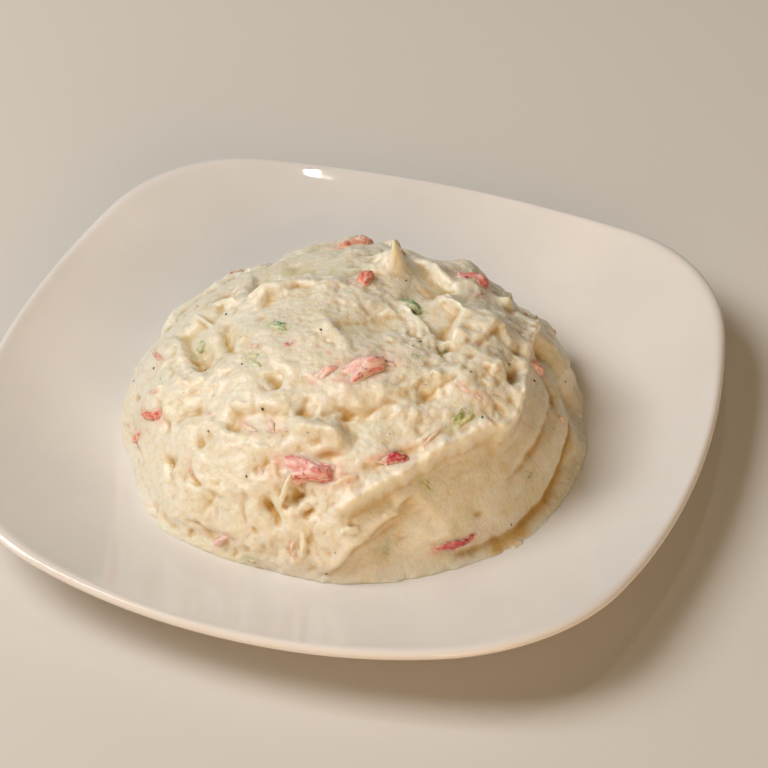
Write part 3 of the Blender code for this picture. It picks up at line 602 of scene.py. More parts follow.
# a drawn-out wobble of the surface, so that hollows aren't round
warp = np.stack([drift(rest, 2.6, seed) for seed in (14, 15, 16)], axis=1) * 0.9
height = np.zeros(len(rest))
swept = np.zeros(len(rest))
curl = np.zeros((len(rest), 3))
lip_share = np.zeros(len(rest))
for stops, lift, cut, reach, wall in SHAVES:
    offset, travelled, fade, left = measure_from(smooth_path(stops), rest)
    marks = np.arange(0.0, travelled.max() + 4.0, 1.0)
    sways = [noise.noise(Vector((mark / 6.0, lift, cut)))
             + 0.4 * noise.noise(Vector((mark / 2.2, cut, lift))) for mark in marks]
    offset = offset + 0.9 * np.interp(travelled, marks, sways)
    ragged = 1.0 + 0.5 * np.interp(travelled, marks, sways[::-1])
    # above the path a lip with a crest, below it a scoop that the spatula took out
    below = np.maximum(-offset, 0.0)
    depth = below / reach
    edge = ease((offset + wall) / (1.5 * wall))
    lip = lift * ragged * np.exp(-np.maximum(offset - 0.5 * wall, 0.0) / LIP_SLOPE)
    lip += 0.25 * lift * np.exp(-((offset - 1.0) / 1.2) ** 2)
    worn = ease(travelled / 16.0) * fade
    height += fade * lip * edge - worn * cut * depth * np.exp(1.0 - depth) * (1.0 - edge)
    # where the spatula passed, its faint streaks run along the path
    passed = fade * ease(below / 3.0) * np.exp(-np.maximum(below - 2.4 * reach, 0.0) / 8.0)
    swept = np.maximum(swept, passed)
    for index in np.flatnonzero(passed > 0.02):
        streak = noise.noise(Vector((travelled[index] / 11.0, offset[index] / 1.5, reach)))
        height[index] += 0.2 * passed[index] * streak
    # the lip leans out over the facet
    overhang = fade * np.exp(-((offset - 0.8) / 1.6) ** 2) * lift * 0.7 / wall
    curl -= left * overhang[:, None]
    lip_share = np.maximum(lip_share, fade * np.exp(-((offset - 1.0) / 2.5) ** 2))
for stops, depth, width in FURROWS + CREASES:
    add_furrow(height, rest, stops, depth, width, 0.5)
for stops, lift, cut, reach in FOLDS:
    add_fold(height, curl, rest, smooth_path(stops), 0.8 * lift, 0.9 * cut, reach, 0.5 * swept, 1.8, 1.0)
for place, depth, width in DIMPLES:
    add_dimple(height, rest, place, depth, width)
for place, depth, width in PITS:
    add_dimple(height, rest, place, 0.5 * depth, 1.2 * width)

# how torn the mash is, which the spatula has mostly smoothed away
rough = np.full(len(rest), 0.10)
for place, share, width in ROUGH_PLACES:
    add_dimple(rough, rest, place, -share, width)
rough *= 1.0 - 0.94 * swept
draw = np.random.default_rng(LUMP_SEED)
for _ in range(LUMP_COUNT):
    rise = math.degrees(math.asin(draw.uniform(0.05, 1.0)))
    place = (draw.uniform(-180.0, 180.0), rise)
    width = draw.uniform(*LUMP_WIDTHS)
    bump = draw.uniform(-LUMP_HEIGHT, LUMP_HEIGHT)
    add_dimple(height, rest, place, -bump, width, 0.9 * swept)

# loose mash between the facets: puffs of about 9 down to 1.4 mm, drawn out up and down on the
# sides of the heap and round it near the crown, and rougher where the mash is torn
wander = np.stack([drift(rest, 12.0, seed) for seed in (11, 12, 13)], axis=1) * 2.6
turns = np.arctan2(rest[:, 1], rest[:, 0])
reach_out = np.hypot(rest[:, 0], rest[:, 1])
upright = (rest + wander) * np.array([1.0, 1.0, 0.8])
round_about = np.stack([reach_out, 11.0 * np.cos(turns), 11.0 * np.sin(turns)], axis=1) + wander
crown_share = ease((rest[:, 2] - 30.0) / 9.0)
rough *= 0.55 + 0.9 * ease(0.5 + 0.9 * drift(rest, 14.0, 21))
for size, swell, seed in PUFFS:
    puffs = ((1.0 - crown_share) * billows(upright, size, seed)
             + crown_share * billows(round_about, size * 0.8, seed + 40))
    height += swell * (0.22 * (1.0 - 0.85 * swept) + 1.0 * rough) * (puffs - 0.45)
height += 0.3 * drift(rest, 10.0, 4)

# short smears, which run up and down the sides and any way on the crown
draw = np.random.default_rng(FOLD_SEED)
for _ in range(FOLD_COUNT):
    rise = math.degrees(math.asin(draw.uniform(0.02, 1.0)))
    place = (draw.uniform(-180.0, 180.0), rise)
    lean = math.radians(80.0) * (1.0 - ease((rise - 35.0) / 25.0)) * draw.choice([-1.0, 1.0])
    heading = lean + draw.normal(0.0, 0.5) + draw.choice([0.0, math.pi])
    path = drawn_path(place, heading, draw.uniform(3.0, 13.0), draw.normal(0.0, 0.9))
    lift = draw.uniform(0.2, 0.8)
    spared = np.minimum(1.0, 1.05 * swept + 0.6 * (1.0 - rough))
    add_fold(height, curl, rest, path, lift, lift * 0.6, draw.uniform(1.6, 4.2), spared, 1.1)
height *= 0.45 + 0.55 * ease(rest[:, 2] / 7.0)
add_furrow(height, rest, *BASE_GROOVE, 0.4)

# the worked surface, with a foot that runs out a little on the plate and follows it
worked = rest + dome_normals(rest) * height[:, None] + curl
turned = np.degrees(turns)
spread = np.full(len(rest), FOOT_SPREAD)
for bearing, extra, width in TOES:
    turn = (turned - bearing + 180.0) % 360.0 - 180.0
    spread += extra * np.exp(-(turn / width) ** 2)
ledge = np.exp(-((turned + 16.0) / 30.0) ** 2)
toe = spread * np.exp(-(rest[:, 2] / TOE_HEIGHT) ** 2)
toe += 0.7 * ledge * (1.0 - ease((rest[:, 2] - 1.2) / 1.6))
toe *= 1.0 + 0.22 * drift(rest, 4.0, 51)
worked[:, :2] += dome_normals(rest * [1.0, 1.0, 0.0] + 1e-9)[:, :2] * toe[:, None]
worked += HEAP_MIDDLE
worked[:, 2] += HEAP_FOOT
on_plate = well_top(np.hypot(worked[:, 0], worked[:, 1]))
worked[foot, 2] = on_plate[foot] - SUNK
worked[~foot, 2] = np.maximum(worked[~foot, 2], on_plate[~foot] + 0.1)
for place, tall, wide, lean in PEAKS:
    away = np.linalg.norm(rest - on_dome(*place), axis=1)
    pull = 0.88 * np.exp(-(away / wide) ** 1.9) + 0.12 * np.exp(-(away / (2.2 * wide)) ** 2)
    pull *= 1.0 + 0.26 * drift(rest, 2.0, 71) * (pull < 0.85)
    worked += (tall * pull)[:, None] * (np.array(lean) / np.linalg.norm(lean))
move_points(heap, worked)
facing = rows_of(heap.data.vertex_normals, "vector")


# crumbs and small curds of mash, each a knobbly lump, pressed into the heap and fused with it
def knobbly(seed, fineness=2):
    """Points and corners of a lump about 1 across with a few knobs; its long way lies along X."""
    bpy.ops.object.select_all(action="DESELECT")
    bpy.ops.mesh.primitive_ico_sphere_add(subdivisions=fineness, radius=0.5)
    lump = bpy.context.active_object
    points = points_of(lump) * MM
    corners = np.array([face.vertices[:] for face in lump.data.polygons])
    bpy.data.objects.remove(lump)
    knobs = np.array([noise.noise(Vector(place) * 3.1 + Vector((seed, 2.0 * seed, 0.0)))
                      for place in points])
    return points * (1.0 + 0.55 * knobs)[:, None], corners


def triangles(name, points, corners):
    """An object of triangles from points in millimetres and three corners a face."""
    mesh = bpy.data.meshes.new(name)
    mesh.vertices.add(len(points))
    mesh.vertices.foreach_set("co", (points * MM).ravel())
    mesh.loops.add(corners.size)
    mesh.loops.foreach_set("vertex_index", corners.ravel())
    mesh.polygons.add(len(corners))
    mesh.polygons.foreach_set("loop_start", np.arange(0, corners.size, 3))
    mesh.update(calc_edges=True)
    piece = bpy.data.objects.new(name, mesh)
    bpy.context.scene.collection.objects.link(piece)
    return piece


def strewn(name, shapes, frames):
    """One mesh of many lumps; each frame is a shape's number, a place, three ways and three sizes."""
    points, corners, start = [], [], 0
    for number, place, ways, sizes in frames:
        shape_points, shape_corners = shapes[number]
        points.append((shape_points * sizes) @ ways + place)
        corners.append(shape_corners + start)
        start += len(shape_points)
    return triangles(name, np.concatenate(points), np.concatenate(corners))


def ways_at(up, heading):
    """Three ways at a place: along, across and up; heading is anticlockwise from the way round."""
    round_way = np.cross([0.0, 0.0, 1.0], up)
    round_way /= np.linalg.norm(round_way) + 1e-9
    along = math.cos(heading) * round_way + math.sin(heading) * np.cross(up, round_way)
    return np.array([along, np.cross(up, along), up])


def pressed_in(draw, count, weights, lengths, slim, thick, sunk):
    """Frames of lumps at random places on the heap, more of them where the weights are high."""
    frames = []
    chosen = draw.choice(len(worked), size=count, p=weights / weights.sum())
    for index in chosen:
        steep = 1.0 - ease((rest[index, 2] - 24.0) / 14.0)
        heading = math.radians(75.0) * steep * draw.choice([-1.0, 1.0]) + draw.normal(0.0, 0.6)
        length = draw.uniform(*lengths) ** 2 / lengths[1] + 0.3 * lengths[0]
        sizes = np.array([length, length * draw.uniform(*slim), length * draw.uniform(*thick)])
        place = worked[index] - facing[index] * sizes[2] * draw.uniform(*sunk)
        frames.append((draw.integers(len(KNOBBLY)), place, ways_at(facing[index], heading), sizes))
    return frames


KNOBBLY = [knobbly(seed) for seed in range(6)]
draw = np.random.default_rng(CRUMB_SEED)
loose = np.maximum(rough, 0.0) ** 1.5 + 0.004
at_foot = np.exp(-(rest[:, 2] / 3.0) ** 2)
STREWN = [
    # how many, where, lengths, width and thickness as shares of the length, how far sunk
    (780, loose, (0.9, 2.4), (0.5, 0.85), (0.35, 0.6), (0.1, 0.5)),
    (200, loose, (2.5, 6.5), (0.35, 0.7), (0.25, 0.4), (0.2, 0.5)),
    (46, loose, (3.0, 8.0), (0.2, 0.3), (0.14, 0.2), (0.2, 0.5)),
    (200, lip_share * (1.0 - at_foot), (0.8, 2.4), (0.4, 0.8), (0.35, 0.6), (0.1, 0.5)),
    (420, at_foot, (0.7, 2.2), (0.6, 0.95), (0.4, 0.6), (0.1, 0.5)),
]
frames = [lump for row in STREWN for lump in pressed_in(draw, *row)]
for start, end, width, thickness in MASH_SHREDS:
    ends = [np.argmin(((rest - on_dome(*stop)) ** 2).sum(axis=1)) for stop in (start, end)]
    along = worked[ends[1]] - worked[ends[0]]
    length = np.linalg.norm(along)
    up = dome_normals(rest[ends[0]])
    across = np.cross(up, along / length)
    across /= np.linalg.norm(across)
    ways = np.array([along / length, across, np.cross(along / length, across)])
    middle = worked[ends].mean(axis=0) + up * 0.3
    frames.append((draw.integers(len(KNOBBLY)), middle, ways, np.array([1.25 * length, width, thickness])))
crumbs = strewn("crumbs", KNOBBLY, frames)
bpy.ops.object.select_all(action="DESELECT")
heap.select_set(True)
bpy.context.view_layer.objects.active = heap
bpy.ops.object.mode_set(mode="EDIT")
bpy.ops.mesh.select_all(action="DESELECT")
bpy.ops.mesh.select_non_manifold(extend=False)
bpy.ops.mesh.extrude_edges_move(TRANSFORM_OT_translate={"value": (0, 0, 0)})
bpy.ops.transform.resize(value=(0.55, 0.55, 1.0))
bpy.ops.transform.translate(value=(0, 0, -1.0 * MM))
bpy.ops.mesh.edge_face_add()
bpy.ops.object.mode_set(mode="OBJECT")
crumbs.select_set(True)
bpy.ops.object.join()
grain = heap.modifiers.new("Mash", "REMESH")
grain.mode = "VOXEL"
grain.voxel_size = MASH_GRAIN * MM
bpy.ops.object.modifier_apply(modifier="Mash")

# the underside, which the plate hides, becomes one flat face
middles = rows_of(heap.data.polygons, "center") / MM
beneath = (np.hypot(middles[:, 0], middles[:, 1]) < HIDDEN_RADIUS) & (middles[:, 2] < HEAP_FOOT + 0.8)
heap.data.polygons.foreach_set("select", beneath)
bpy.ops.object.mode_set(mode="EDIT")
bpy.ops.mesh.select_mode(type="FACE")
bpy.ops.object.mode_set(mode="OBJECT")
heap.data.polygons.foreach_set("select", beneath)
bpy.ops.object.mode_set(mode="EDIT")
bpy.ops.mesh.delete(type="FACE")
bpy.ops.mesh.select_mode(type="EDGE")
bpy.ops.mesh.select_all(action="DESELECT")
bpy.ops.mesh.select_non_manifold(extend=False)
bpy.ops.mesh.edge_face_add()
bpy.ops.object.mode_set(mode="OBJECT")

# how hollow the surface is there at three sizes, for the material's painted shade in creases, grooves and
# hollows and painted highlight on ridges
surface = points_of(heap)
links = rows_of(heap.data.edges, "vertices", 2, np.int64)
count = np.bincount(links.ravel(), minlength=len(surface))[:, None]


def eased(values, rounds):
    """Values evened out between neighbouring points of the heap."""
    out = values.copy()
    for _ in range(rounds):
        total = np.empty_like(out)
        for axis in range(out.shape[1]):
            total[:, axis] = (np.bincount(links[:, 0], out[links[:, 1], axis], len(out))
                              + np.bincount(links[:, 1], out[links[:, 0], axis], len(out)))
        out = 0.5 * out + 0.5 * total / count
    return out


surface = eased(surface, 1)
move_points(heap, surface)
facing = rows_of(heap.data.vertex_normals, "vector")
fine_hollow = ((eased(surface, 8) - surface) * facing).sum(axis=1)
mid_hollow = ((eased(surface, 28) - surface) * facing).sum(axis=1)
broad_hollow = ((eased(surface, 90) - surface) * facing).sum(axis=1)
before = KDTree(len(worked))
for index, place in enumerate(worked):
    before.insert(place, index)
before.balance()
origin = np.array([before.find(place)[1] for place in surface])
# painted shade: ochre along the listed grooves and hollows
oily = np.zeros(len(rest))
for stops, strength, width in PAINTED_SHADE_GROOVES:
    add_furrow(oily, rest, stops, -strength, width, 0.4)
# the lip mark follows the shaved lips, for the material's painted highlight along them
for name, values in (("crease", fine_hollow), ("swept", swept[origin]), ("oily", oily[origin]),
                     ("lip", lip_share[origin]), ("groove", mid_hollow), ("hollow", broad_hollow)):
    place_marks(heap, name, values)
sides = sum(len(face.vertices) - 2 for face in heap.data.polygons)
thinned = heap.modifiers.new("Thinned", "DECIMATE")
thinned.ratio = min(1.0, HEAP_TRIANGLES / sides)
bpy.ops.object.modifier_apply(modifier="Thinned")

# Potato mashed in mayonnaise: cream-coloured, moist and translucent, so soft edges and a satin gloss.
# Its colour also carries painted shade, a deeper ochre in creases, grooves and hollows, and painted
# highlight, paler on lips and ridges.
MASH_NOISES = [
    # name, width of its spots in mm, detail, roughness, distortion
    ("blotch", 8.33, 4.0, 0.5, 0.0), ("scraps", 3.85, 3.0, 0.5, 0.0), ("leaf", 5.88, 2.0, 0.5, 0.6),
    ("thin", 0.909, 2.0, 0.5, 0.0), ("herbs", 10.5, 5.0, 0.65, 0.0), ("curds", 1.613, 4.0, 0.62, 0.0),
    ("grit", 0.769, 2.0, 0.6, 0.0),
]
MASH_MARKS = ("crease", "groove", "hollow", "lip", "swept", "oily", "pink", "greenish")
MASH_TINTS_AND_PAINTED_LIGHT = [
    # what it follows, where it starts, where it is full, its full share, colour
    ("blotch", 0.35, 0.65, 1.0, "#E5DFCC"), ("scraps", 0.54, 0.72, 0.6, "#DFCDA4"),
    ("leaf", 0.58, 0.74, 0.25, "#DADAB8"), ("leaf", 0.42, 0.26, 0.28, "#E8D1BC"),
    # the hollow, groove and crease tints are painted shade: deeper ochre in broad hollows, grooves and fine
    # creases
    ("thin", 0.55, 0.75, 0.5, "#DCC590"), ("hollow", 0.05, 1.3, 0.65, "#D9B878"),
    ("groove", 0.06, 0.66, 0.8, "#CDA656"), ("crease", 0.02, 0.26, 0.85, "#C0943F"),
    # the paler crease tint on ridges and the lip tint along the shaved lips are painted highlight
    ("crease", -0.03, -0.22, 0.5, "#F2EFE0"), ("lip", 0.35, 1.0, 0.55, "#F4F0E2"),
    # the ochre tint along the listed grooves and hollows is painted shade
    ("herbs", 0.50, 0.66, 0.45, "#D0C28A"), ("oily", 0.08, 0.9, 0.85, "#C69C48"),
    ("pink", 0.0, 1.0, 1.0, "#E8A08C"), ("greenish", 0.0, 1.0, 1.0, "#BFC79A"),
]

mash, tree, shader = new_material("potato mashed with mayonnaise", Roughness=0.36, IOR=1.42,
                                  Coat_Weight=0.22, Coat_Roughness=0.16,
                                  Subsurface_Weight=0.65, Subsurface_Scale=0.0022)
shader.inputs["Subsurface Radius"].default_value = (1.0, 0.72, 0.38)
spot = add_node(tree, "ShaderNodeTexCoord").outputs["Object"]
read = {}
for name, width, detail, roughness, distortion in MASH_NOISES:
    values = {"Scale": scale_for(width), "Detail": detail, "Roughness": roughness,
              "Distortion": distortion}
    read[name] = add_node(tree, "ShaderNodeTexNoise", {"Vector": spot}, values).outputs[0]
for name in MASH_MARKS:
    read[name] = add_node(tree, "ShaderNodeAttribute", attribute_name=name).outputs["Fac"]
cream = linear("#E9E6DA")
for name, starts, full, most, tint in MASH_TINTS_AND_PAINTED_LIGHT:
    share = stretched(tree, read[name], starts, full, 0.0, most)
    if name == "herbs":      # only the smoothed facets show the herbs' juice
        share = add_node(tree, "ShaderNodeMath", {0: read["swept"], 1: share},
                         operation="MULTIPLY").outputs[0]
    cream = mixed(tree, share, cream, linear(tint))
tree.links.new(cream, shader.inputs["Base Color"])
puffy = add_node(tree, "ShaderNodeTexVoronoi", {"Vector": spot},
                 {"Scale": scale_for(2.083), "Smoothness": 0.7}, feature="SMOOTH_F1")
puff_depth = stretched(tree, read["swept"], 0.0, 1.0, 0.45, 0.12)
puffed = add_node(tree, "ShaderNodeBump", {"Height": puffy.outputs[0], "Strength": puff_depth},
                  {"Distance": 0.0009}, invert=True)
bumpy = add_node(tree, "ShaderNodeBump", {"Height": read["curds"], "Normal": puffed.outputs[0]},
                 {"Strength": 0.5, "Distance": 0.0007})
grit_depth = stretched(tree, read["swept"], 0.0, 1.0, 0.4, 0.55)
gritty = add_node(tree, "ShaderNodeBump",
                  {"Height": read["grit"], "Normal": bumpy.outputs[0], "Strength": grit_depth},
                  {"Distance": 0.0003})
tree.links.new(gritty.outputs[0], shader.inputs["Normal"])
settle(heap, "salad_heap", mash)
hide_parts("salad")


# ------------------------------------------------------------------ crab stick
# Scraps of crab stick: white fish paste rolled in fine fibres under a red-dyed skin, torn by hand
# and stirred into the mash, so each is ragged, mottled pink, and partly smeared over.

SCRAPS = [
    # name, one end, other end, width, thickness, proud, how red, how orange
    ("crab_stick_1", (-95, 38.4), (-75, 38), 6.6, 4.6, 1.0, 0.42, 0.10),
    ("crab_stick_2", (-78, 67), (-48, 71), 7.6, 4.6, 0.9, 0.34, 0.10),
    ("crab_stick_3", (-95, 65), (-81, 71), 2.6, 2.4, 0.5, 0.30, 0.10),
    ("crab_stick_4", (-51, 8), (-39, 8.5), 2.6, 2.4, 0.9, 0.60, 0.05),
    ("crab_stick_5", (114, 47), (102, 47), 6.0, 4.4, 1.4, 0.42, 0.85),
    ("crab_stick_6", (-62, 42.5), (-54, 42), 3.8, 3.2, 0.7, 0.78, 0.10),
    ("crab_stick_7", (60, 54), (49, 47), 5.2, 3.8, 1.2, 0.46, 0.10),
    ("crab_stick_8", (101, 79), (93, 75), 4.2, 3.2, 1.0, 0.50, 0.40),
    ("crab_stick_9", (19, 38), (18, 31), 3.6, 2.8, 0.5, 0.35, 0.00),
    ("crab_stick_10", (-148, 23), (-141, 29), 3.2, 3.0, 0.9, 0.52, 0.60),
    ("crab_stick_11", (-149, 10), (-144, 17), 3.4, 3.0, 1.0, 0.44, 0.85),
]

CRAB_SHREDS = [
    # one end, other end, width, how red, how orange
    ((20, 46), (19, 41), 1.8, 0.32, 0.3), ((-107, 3), (-104, 10), 1.8, 0.26, 0.1),
    ((-87, 15), (-86, 9), 1.5, 0.35, 0.9), ((-168, 31), (-159, 36), 1.7, 0.50, 0.3),
    ((-144, 62), (-139, 64), 1.5, 0.35, 0.5), ((39, 57), (42, 53), 1.7, 0.95, 0.0),
    ((89, 53), (83, 62), 0.9, 0.50, 0.9), ((-123, 27), (-119, 24), 1.2, 0.40, 0.9),
    ((-128, 69), (-127, 72), 1.1, 0.60, 0.1), ((-4, 63), (2, 57), 0.9, 0.35, 0.3),
    ((-48, 44), (-40, 47), 0.9, 0.30, 0.9), ((-105, 50), (-101, 47), 1.7, 0.22, 0.2),
    ((-114, 46), (-107, 45), 2.2, 0.08, 0.9), ((-24, 54), (-21, 48), 2.2, 0.14, 0.1),
    ((-54, 72), (-42, 68), 1.4, 0.40, 0.1), ((-66, 43), (-60, 42), 2.2, 0.25, 0.0),
    ((-99, 49), (-96, 49), 1.0, 0.30, 0.0), ((-93, 74), (-96, 74), 0.8, 0.50, 0.2),
    ((14, 77), (10, 77), 0.9, 0.35, 0.4), ((-26, 42), (-24, 42), 0.7, 0.50, 0.1),
    ((6, 21), (6, 18), 1.6, 0.40, 0.9), ((-101, 36), (-98, 34), 0.8, 0.30, 0.8),
    ((-130, 40), (-127, 42), 1.0, 0.15, 0.6), ((-150, 30), (-147, 33), 0.8, 0.30, 0.8),
]
SHRED_SEED = 11
SPARE_SHREDS = 24            # more of them at random, out of the photograph's sight

heap_skin = BVHTree.FromPolygons([vertex.co for vertex in heap.data.vertices],
                                 [face.vertices[:] for face in heap.data.polygons])


def lying_on_heap(bearing, rise):
    """The heap's surface at a bearing and rise, and the way out of the heap there, in millimetres."""
    place = on_dome(bearing, rise)
    out = dome_normals(place)
    middle = HEAP_MIDDLE + np.array([0.0, 0.0, HEAP_FOOT])
    hit = heap_skin.ray_cast(Vector((place + out * 12.0 + middle) * MM), Vector(-out))[0]
    return np.array(hit) / MM, out


def bedded(shape, start, end, width, thickness, proud, rag, seed):
    """A ragged bar's points, bedded in the heap along a line, and the same points measured along it."""
    ends = [lying_on_heap(*start), lying_on_heap(*end)]
    along = ends[1][0] - ends[0][0]
    length = np.linalg.norm(along)
    up = ends[0][1] + ends[1][1]
    along /= length
    up -= along * (up @ along)
    up /= np.linalg.norm(up)
    ways = np.array([along, np.cross(up, along), up])
    blunt = (np.abs(shape * 2.0) ** 3.0).sum(axis=1) ** (1.0 / 3.0)
    local = shape / blunt[:, None] * np.array([length, width, thickness])
    aside = np.minimum(1.0, (2.0 * local[:, 1] / width) ** 2 + 0.6 * (2.0 * local[:, 0] / length) ** 4)
    local[:, 2] *= 1.0 - 0.45 * aside
    for grain, share in ((0.60, 1.0), (0.28, 0.6)):
        reach = local * np.array([0.55, 1.0, 1.0]) / (grain * width)
        swell = noise_on(reach, 1.0, (seed * 3.7, seed * 1.3, 0.0))
        local = local + shape * 2.0 * (rag * width * share * swell)[:, None]
    half = length / 2.0
    drop = thickness / 2.0 - proud
    middle = (ends[0][0] + ends[1][0]) / 2.0 - up * drop
    sag = np.linalg.norm(lying_on_heap((start[0] + end[0]) / 2.0, (start[1] + end[1]) / 2.0)[0]
                         - (ends[0][0] + ends[1][0]) / 2.0) * 0.8
    bowed = local @ ways + middle + up * (sag * (1.0 - (local[:, :1] / half) ** 2))
    return bowed, local


def smeared(tree, look, grain, reach):
    """A piece's colour, smeared over with mash where it stands out from the heap less than a reach."""
    bared = add_node(tree, "ShaderNodeAttribute", attribute_name="bared").outputs["Fac"]
    film = add_node(tree, "ShaderNodeTexNoise", {"Vector": grain},
                    {"Scale": scale_for(1.429), "Detail": 2.0})
    ragged = stretched(tree, film.outputs[0], 0.3, 0.7, -0.8 * reach, 0.8 * reach)
    stands = add_node(tree, "ShaderNodeMath", {0: bared, 1: ragged}, operation="ADD")
    covered = stretched(tree, stands.outputs[0], 0.1 * reach, reach, 0.75, 0.0)
    return mixed(tree, covered, look, linear("#EEDFCB"))


def scraps_mesh(name, shapes, beds):
    """One mesh of several bedded bars, with each one's fibre measure and two tints on its points."""
    points, corners, grains, first, second, start = [], [], [], [], [], 0
    for number, (start_at, end_at, width, thickness, proud, rag, tint, warmth) in enumerate(beds):
        shape, faces = shapes[number % len(shapes)]
        bowed, local = bedded(shape, start_at, end_at, width, thickness, proud, rag, number + len(name))
        points.append(bowed)
        grains.append(local + np.array([number * 17.0, 0.0, 0.0]))
        first.append(np.full(len(bowed), tint))
        second.append(np.full(len(bowed), warmth))
        corners.append(faces + start)
        start += len(bowed)
    points = np.concatenate(points)
    piece = triangles(name, points, np.concatenate(corners))
    bared = []
    for place in points * MM:
        seat, up, _, _ = heap_skin.find_nearest(Vector(place))
        bared.append((Vector(place) - seat).dot(up) / MM)
    place_marks(piece, "bared", bared)
    place_marks(piece, "grain", np.concatenate(grains) * MM, "FLOAT_VECTOR")
    place_marks(piece, "tint", np.concatenate(first))
    place_marks(piece, "warmth", np.concatenate(second))
    return piece


def small_beds(named, proud, draw, count, runs, widths, tints):
    """Beds of small pieces: the named ones, then more at random over the heap's right and back."""
    beds = [(start, end, width, width * 0.7, width * proud, 0.45, tint, warmth)
            for start, end, width, tint, warmth in named]
    for _ in range(count):
        bearing = draw.uniform(30.0, 195.0)
        rise = math.degrees(math.asin(draw.uniform(0.05, 0.7)))
        run, width = draw.uniform(*runs), draw.uniform(*widths)
        end = (bearing + run * draw.uniform(-1.0, 1.0), rise + run * draw.uniform(-0.7, 0.7))
        beds.append(((bearing, rise), end, width, width * 0.7, width * 0.10, 0.45,
                     draw.uniform(*tints), draw.uniform(0.0, 1.0)))
    return beds


# Crab stick flesh: pale pink fibres, dyed red at the skin and bleeding pink into the rest, and
# moist, so softly lit from inside.  Its fibres follow each piece, by marks on its points.
BED_MARKS = (("grain", "Vector"), ("tint", "Fac"), ("warmth", "Fac"))
flesh, tree, shader = new_material("crab stick flesh", Roughness=0.38, IOR=1.4,
                                   Subsurface_Weight=0.5, Subsurface_Scale=0.0008)
grain, tint, warmth = [add_node(tree, "ShaderNodeAttribute", attribute_name=name).outputs[socket]
                       for name, socket in BED_MARKS]
fibres = add_node(tree, "ShaderNodeMapping", {"Vector": grain}, {"Scale": (0.35, 1.0, 1.0)})
strands = add_node(tree, "ShaderNodeTexNoise", {"Vector": fibres.outputs[0]},
                   {"Scale": scale_for(1.111), "Detail": 3.0})
patches = add_node(tree, "ShaderNodeTexNoise", {"Vector": fibres.outputs[0]},
                   {"Scale": scale_for(2.381), "Detail": 3.0, "Roughness": 0.65})
bleed = add_node(tree, "ShaderNodeMath", {0: tint, 1: patches.outputs[0]}, operation="ADD")
pale, rosy, deep = [mixed(tree, warmth, linear(cold), linear(warm)) for cold, warm in
                    (("#F3D6D0", "#F2D8C4"), ("#DA7A7F", "#E48C64"), ("#B02030", "#C8482C"))]
look = mixed(tree, stretched(tree, bleed.outputs[0], 0.74, 0.98), pale, rosy)
look = mixed(tree, stretched(tree, bleed.outputs[0], 0.96, 1.30), look, deep)
look = mixed(tree, stretched(tree, strands.outputs[0], 0.50, 0.66, 0.0, 0.75), look, linear("#F4E0D2"))
spots = add_node(tree, "ShaderNodeTexNoise", {"Vector": grain},
                 {"Scale": scale_for(1.613), "Detail": 2.0, "Roughness": 0.6})
soaked = add_node(tree, "ShaderNodeMath", {0: stretched(tree, spots.outputs[0], 0.56, 0.70),
                                           1: stretched(tree, tint, 0.1, 0.5, 0.2, 0.9)},
                  operation="MULTIPLY")
look = mixed(tree, soaked.outputs[0], look, deep)
curled = add_node(tree, "ShaderNodeTexVoronoi", {"Vector": fibres.outputs[0]},
                  {"Scale": scale_for(0.909)})
# painted shade: the flesh is darkened between the curled scales, where the bump sinks
painted_crevice_shade = stretched(tree, curled.outputs[0], 0.45, 0.85, 0.0, 0.12)
look = mixed(tree, painted_crevice_shade, look, linear("#B85A5E"), "MULTIPLY")
tree.links.new(smeared(tree, look, grain, 0.6), shader.inputs["Base Color"])
scaly = add_node(tree, "ShaderNodeBump", {"Height": curled.outputs[0]},
                 {"Strength": 0.4, "Distance": 0.0005}, invert=True)
fibrous = add_node(tree, "ShaderNodeBump", {"Height": strands.outputs[0], "Normal": scaly.outputs[0]},
                   {"Strength": 0.6, "Distance": 0.0005})
tree.links.new(fibrous.outputs[0], shader.inputs["Normal"])

fine_bars = [knobbly(seed, 4) for seed in (21, 22)]
for name, start, end, width, thickness, proud, tint, warmth in SCRAPS:
    bed = (start, end, 1.06 * width, thickness, proud, 0.30, tint, warmth)
    scrap = scraps_mesh(name + "_scrap", fine_bars, [bed])
    settle(scrap, name + "_scrap", flesh)
    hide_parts(name)


# the dye and juice bleed a little way into the mash round each scrap
def bleed_round(lines, reach, seed):
    """How strongly each point of the heap is stained by lines between places on it."""
    points = points_of(heap)
    stain = np.zeros(len(points))
    for start, end, width, strength in lines:
        ends = [lying_on_heap(*start)[0], lying_on_heap(*end)[0]]
        run = ends[1] - ends[0]
        near = np.flatnonzero((np.abs(points - (ends[0] + ends[1]) / 2.0) < 14.0).all(axis=1))
        share = np.clip((points[near] - ends[0]) @ run / (run @ run), 0.0, 1.0)
        gap = np.linalg.norm(points[near] - ends[0] - share[:, None] * run, axis=1)
        mottle = np.clip(0.75 + 0.8 * drift(points[near], 1.5, seed), 0.0, 1.4)
        soaked = strength * np.exp(-(gap / (width / 2.0 + reach)) ** 2) * mottle
        stain[near] = np.maximum(stain[near], soaked)
    return stain


lines = [(start, end, width, 0.45) for _, start, end, width, _, _, _, _ in SCRAPS]
lines += [(start, end, width, 0.42) for start, end, width, _, _ in CRAB_SHREDS]
place_marks(heap, "pink", bleed_round(lines, 0.5, 61))

beds = small_beds(CRAB_SHREDS, 0.14, np.random.default_rng(SHRED_SEED), SPARE_SHREDS,
                  (1.5, 6.0), (0.7, 2.2), (0.2, 0.8))
shreds = scraps_mesh("crab_stick_shreds", [knobbly(seed, 3) for seed in (31, 32, 33)], beds)
settle(shreds, "crab_stick_shreds", flesh)


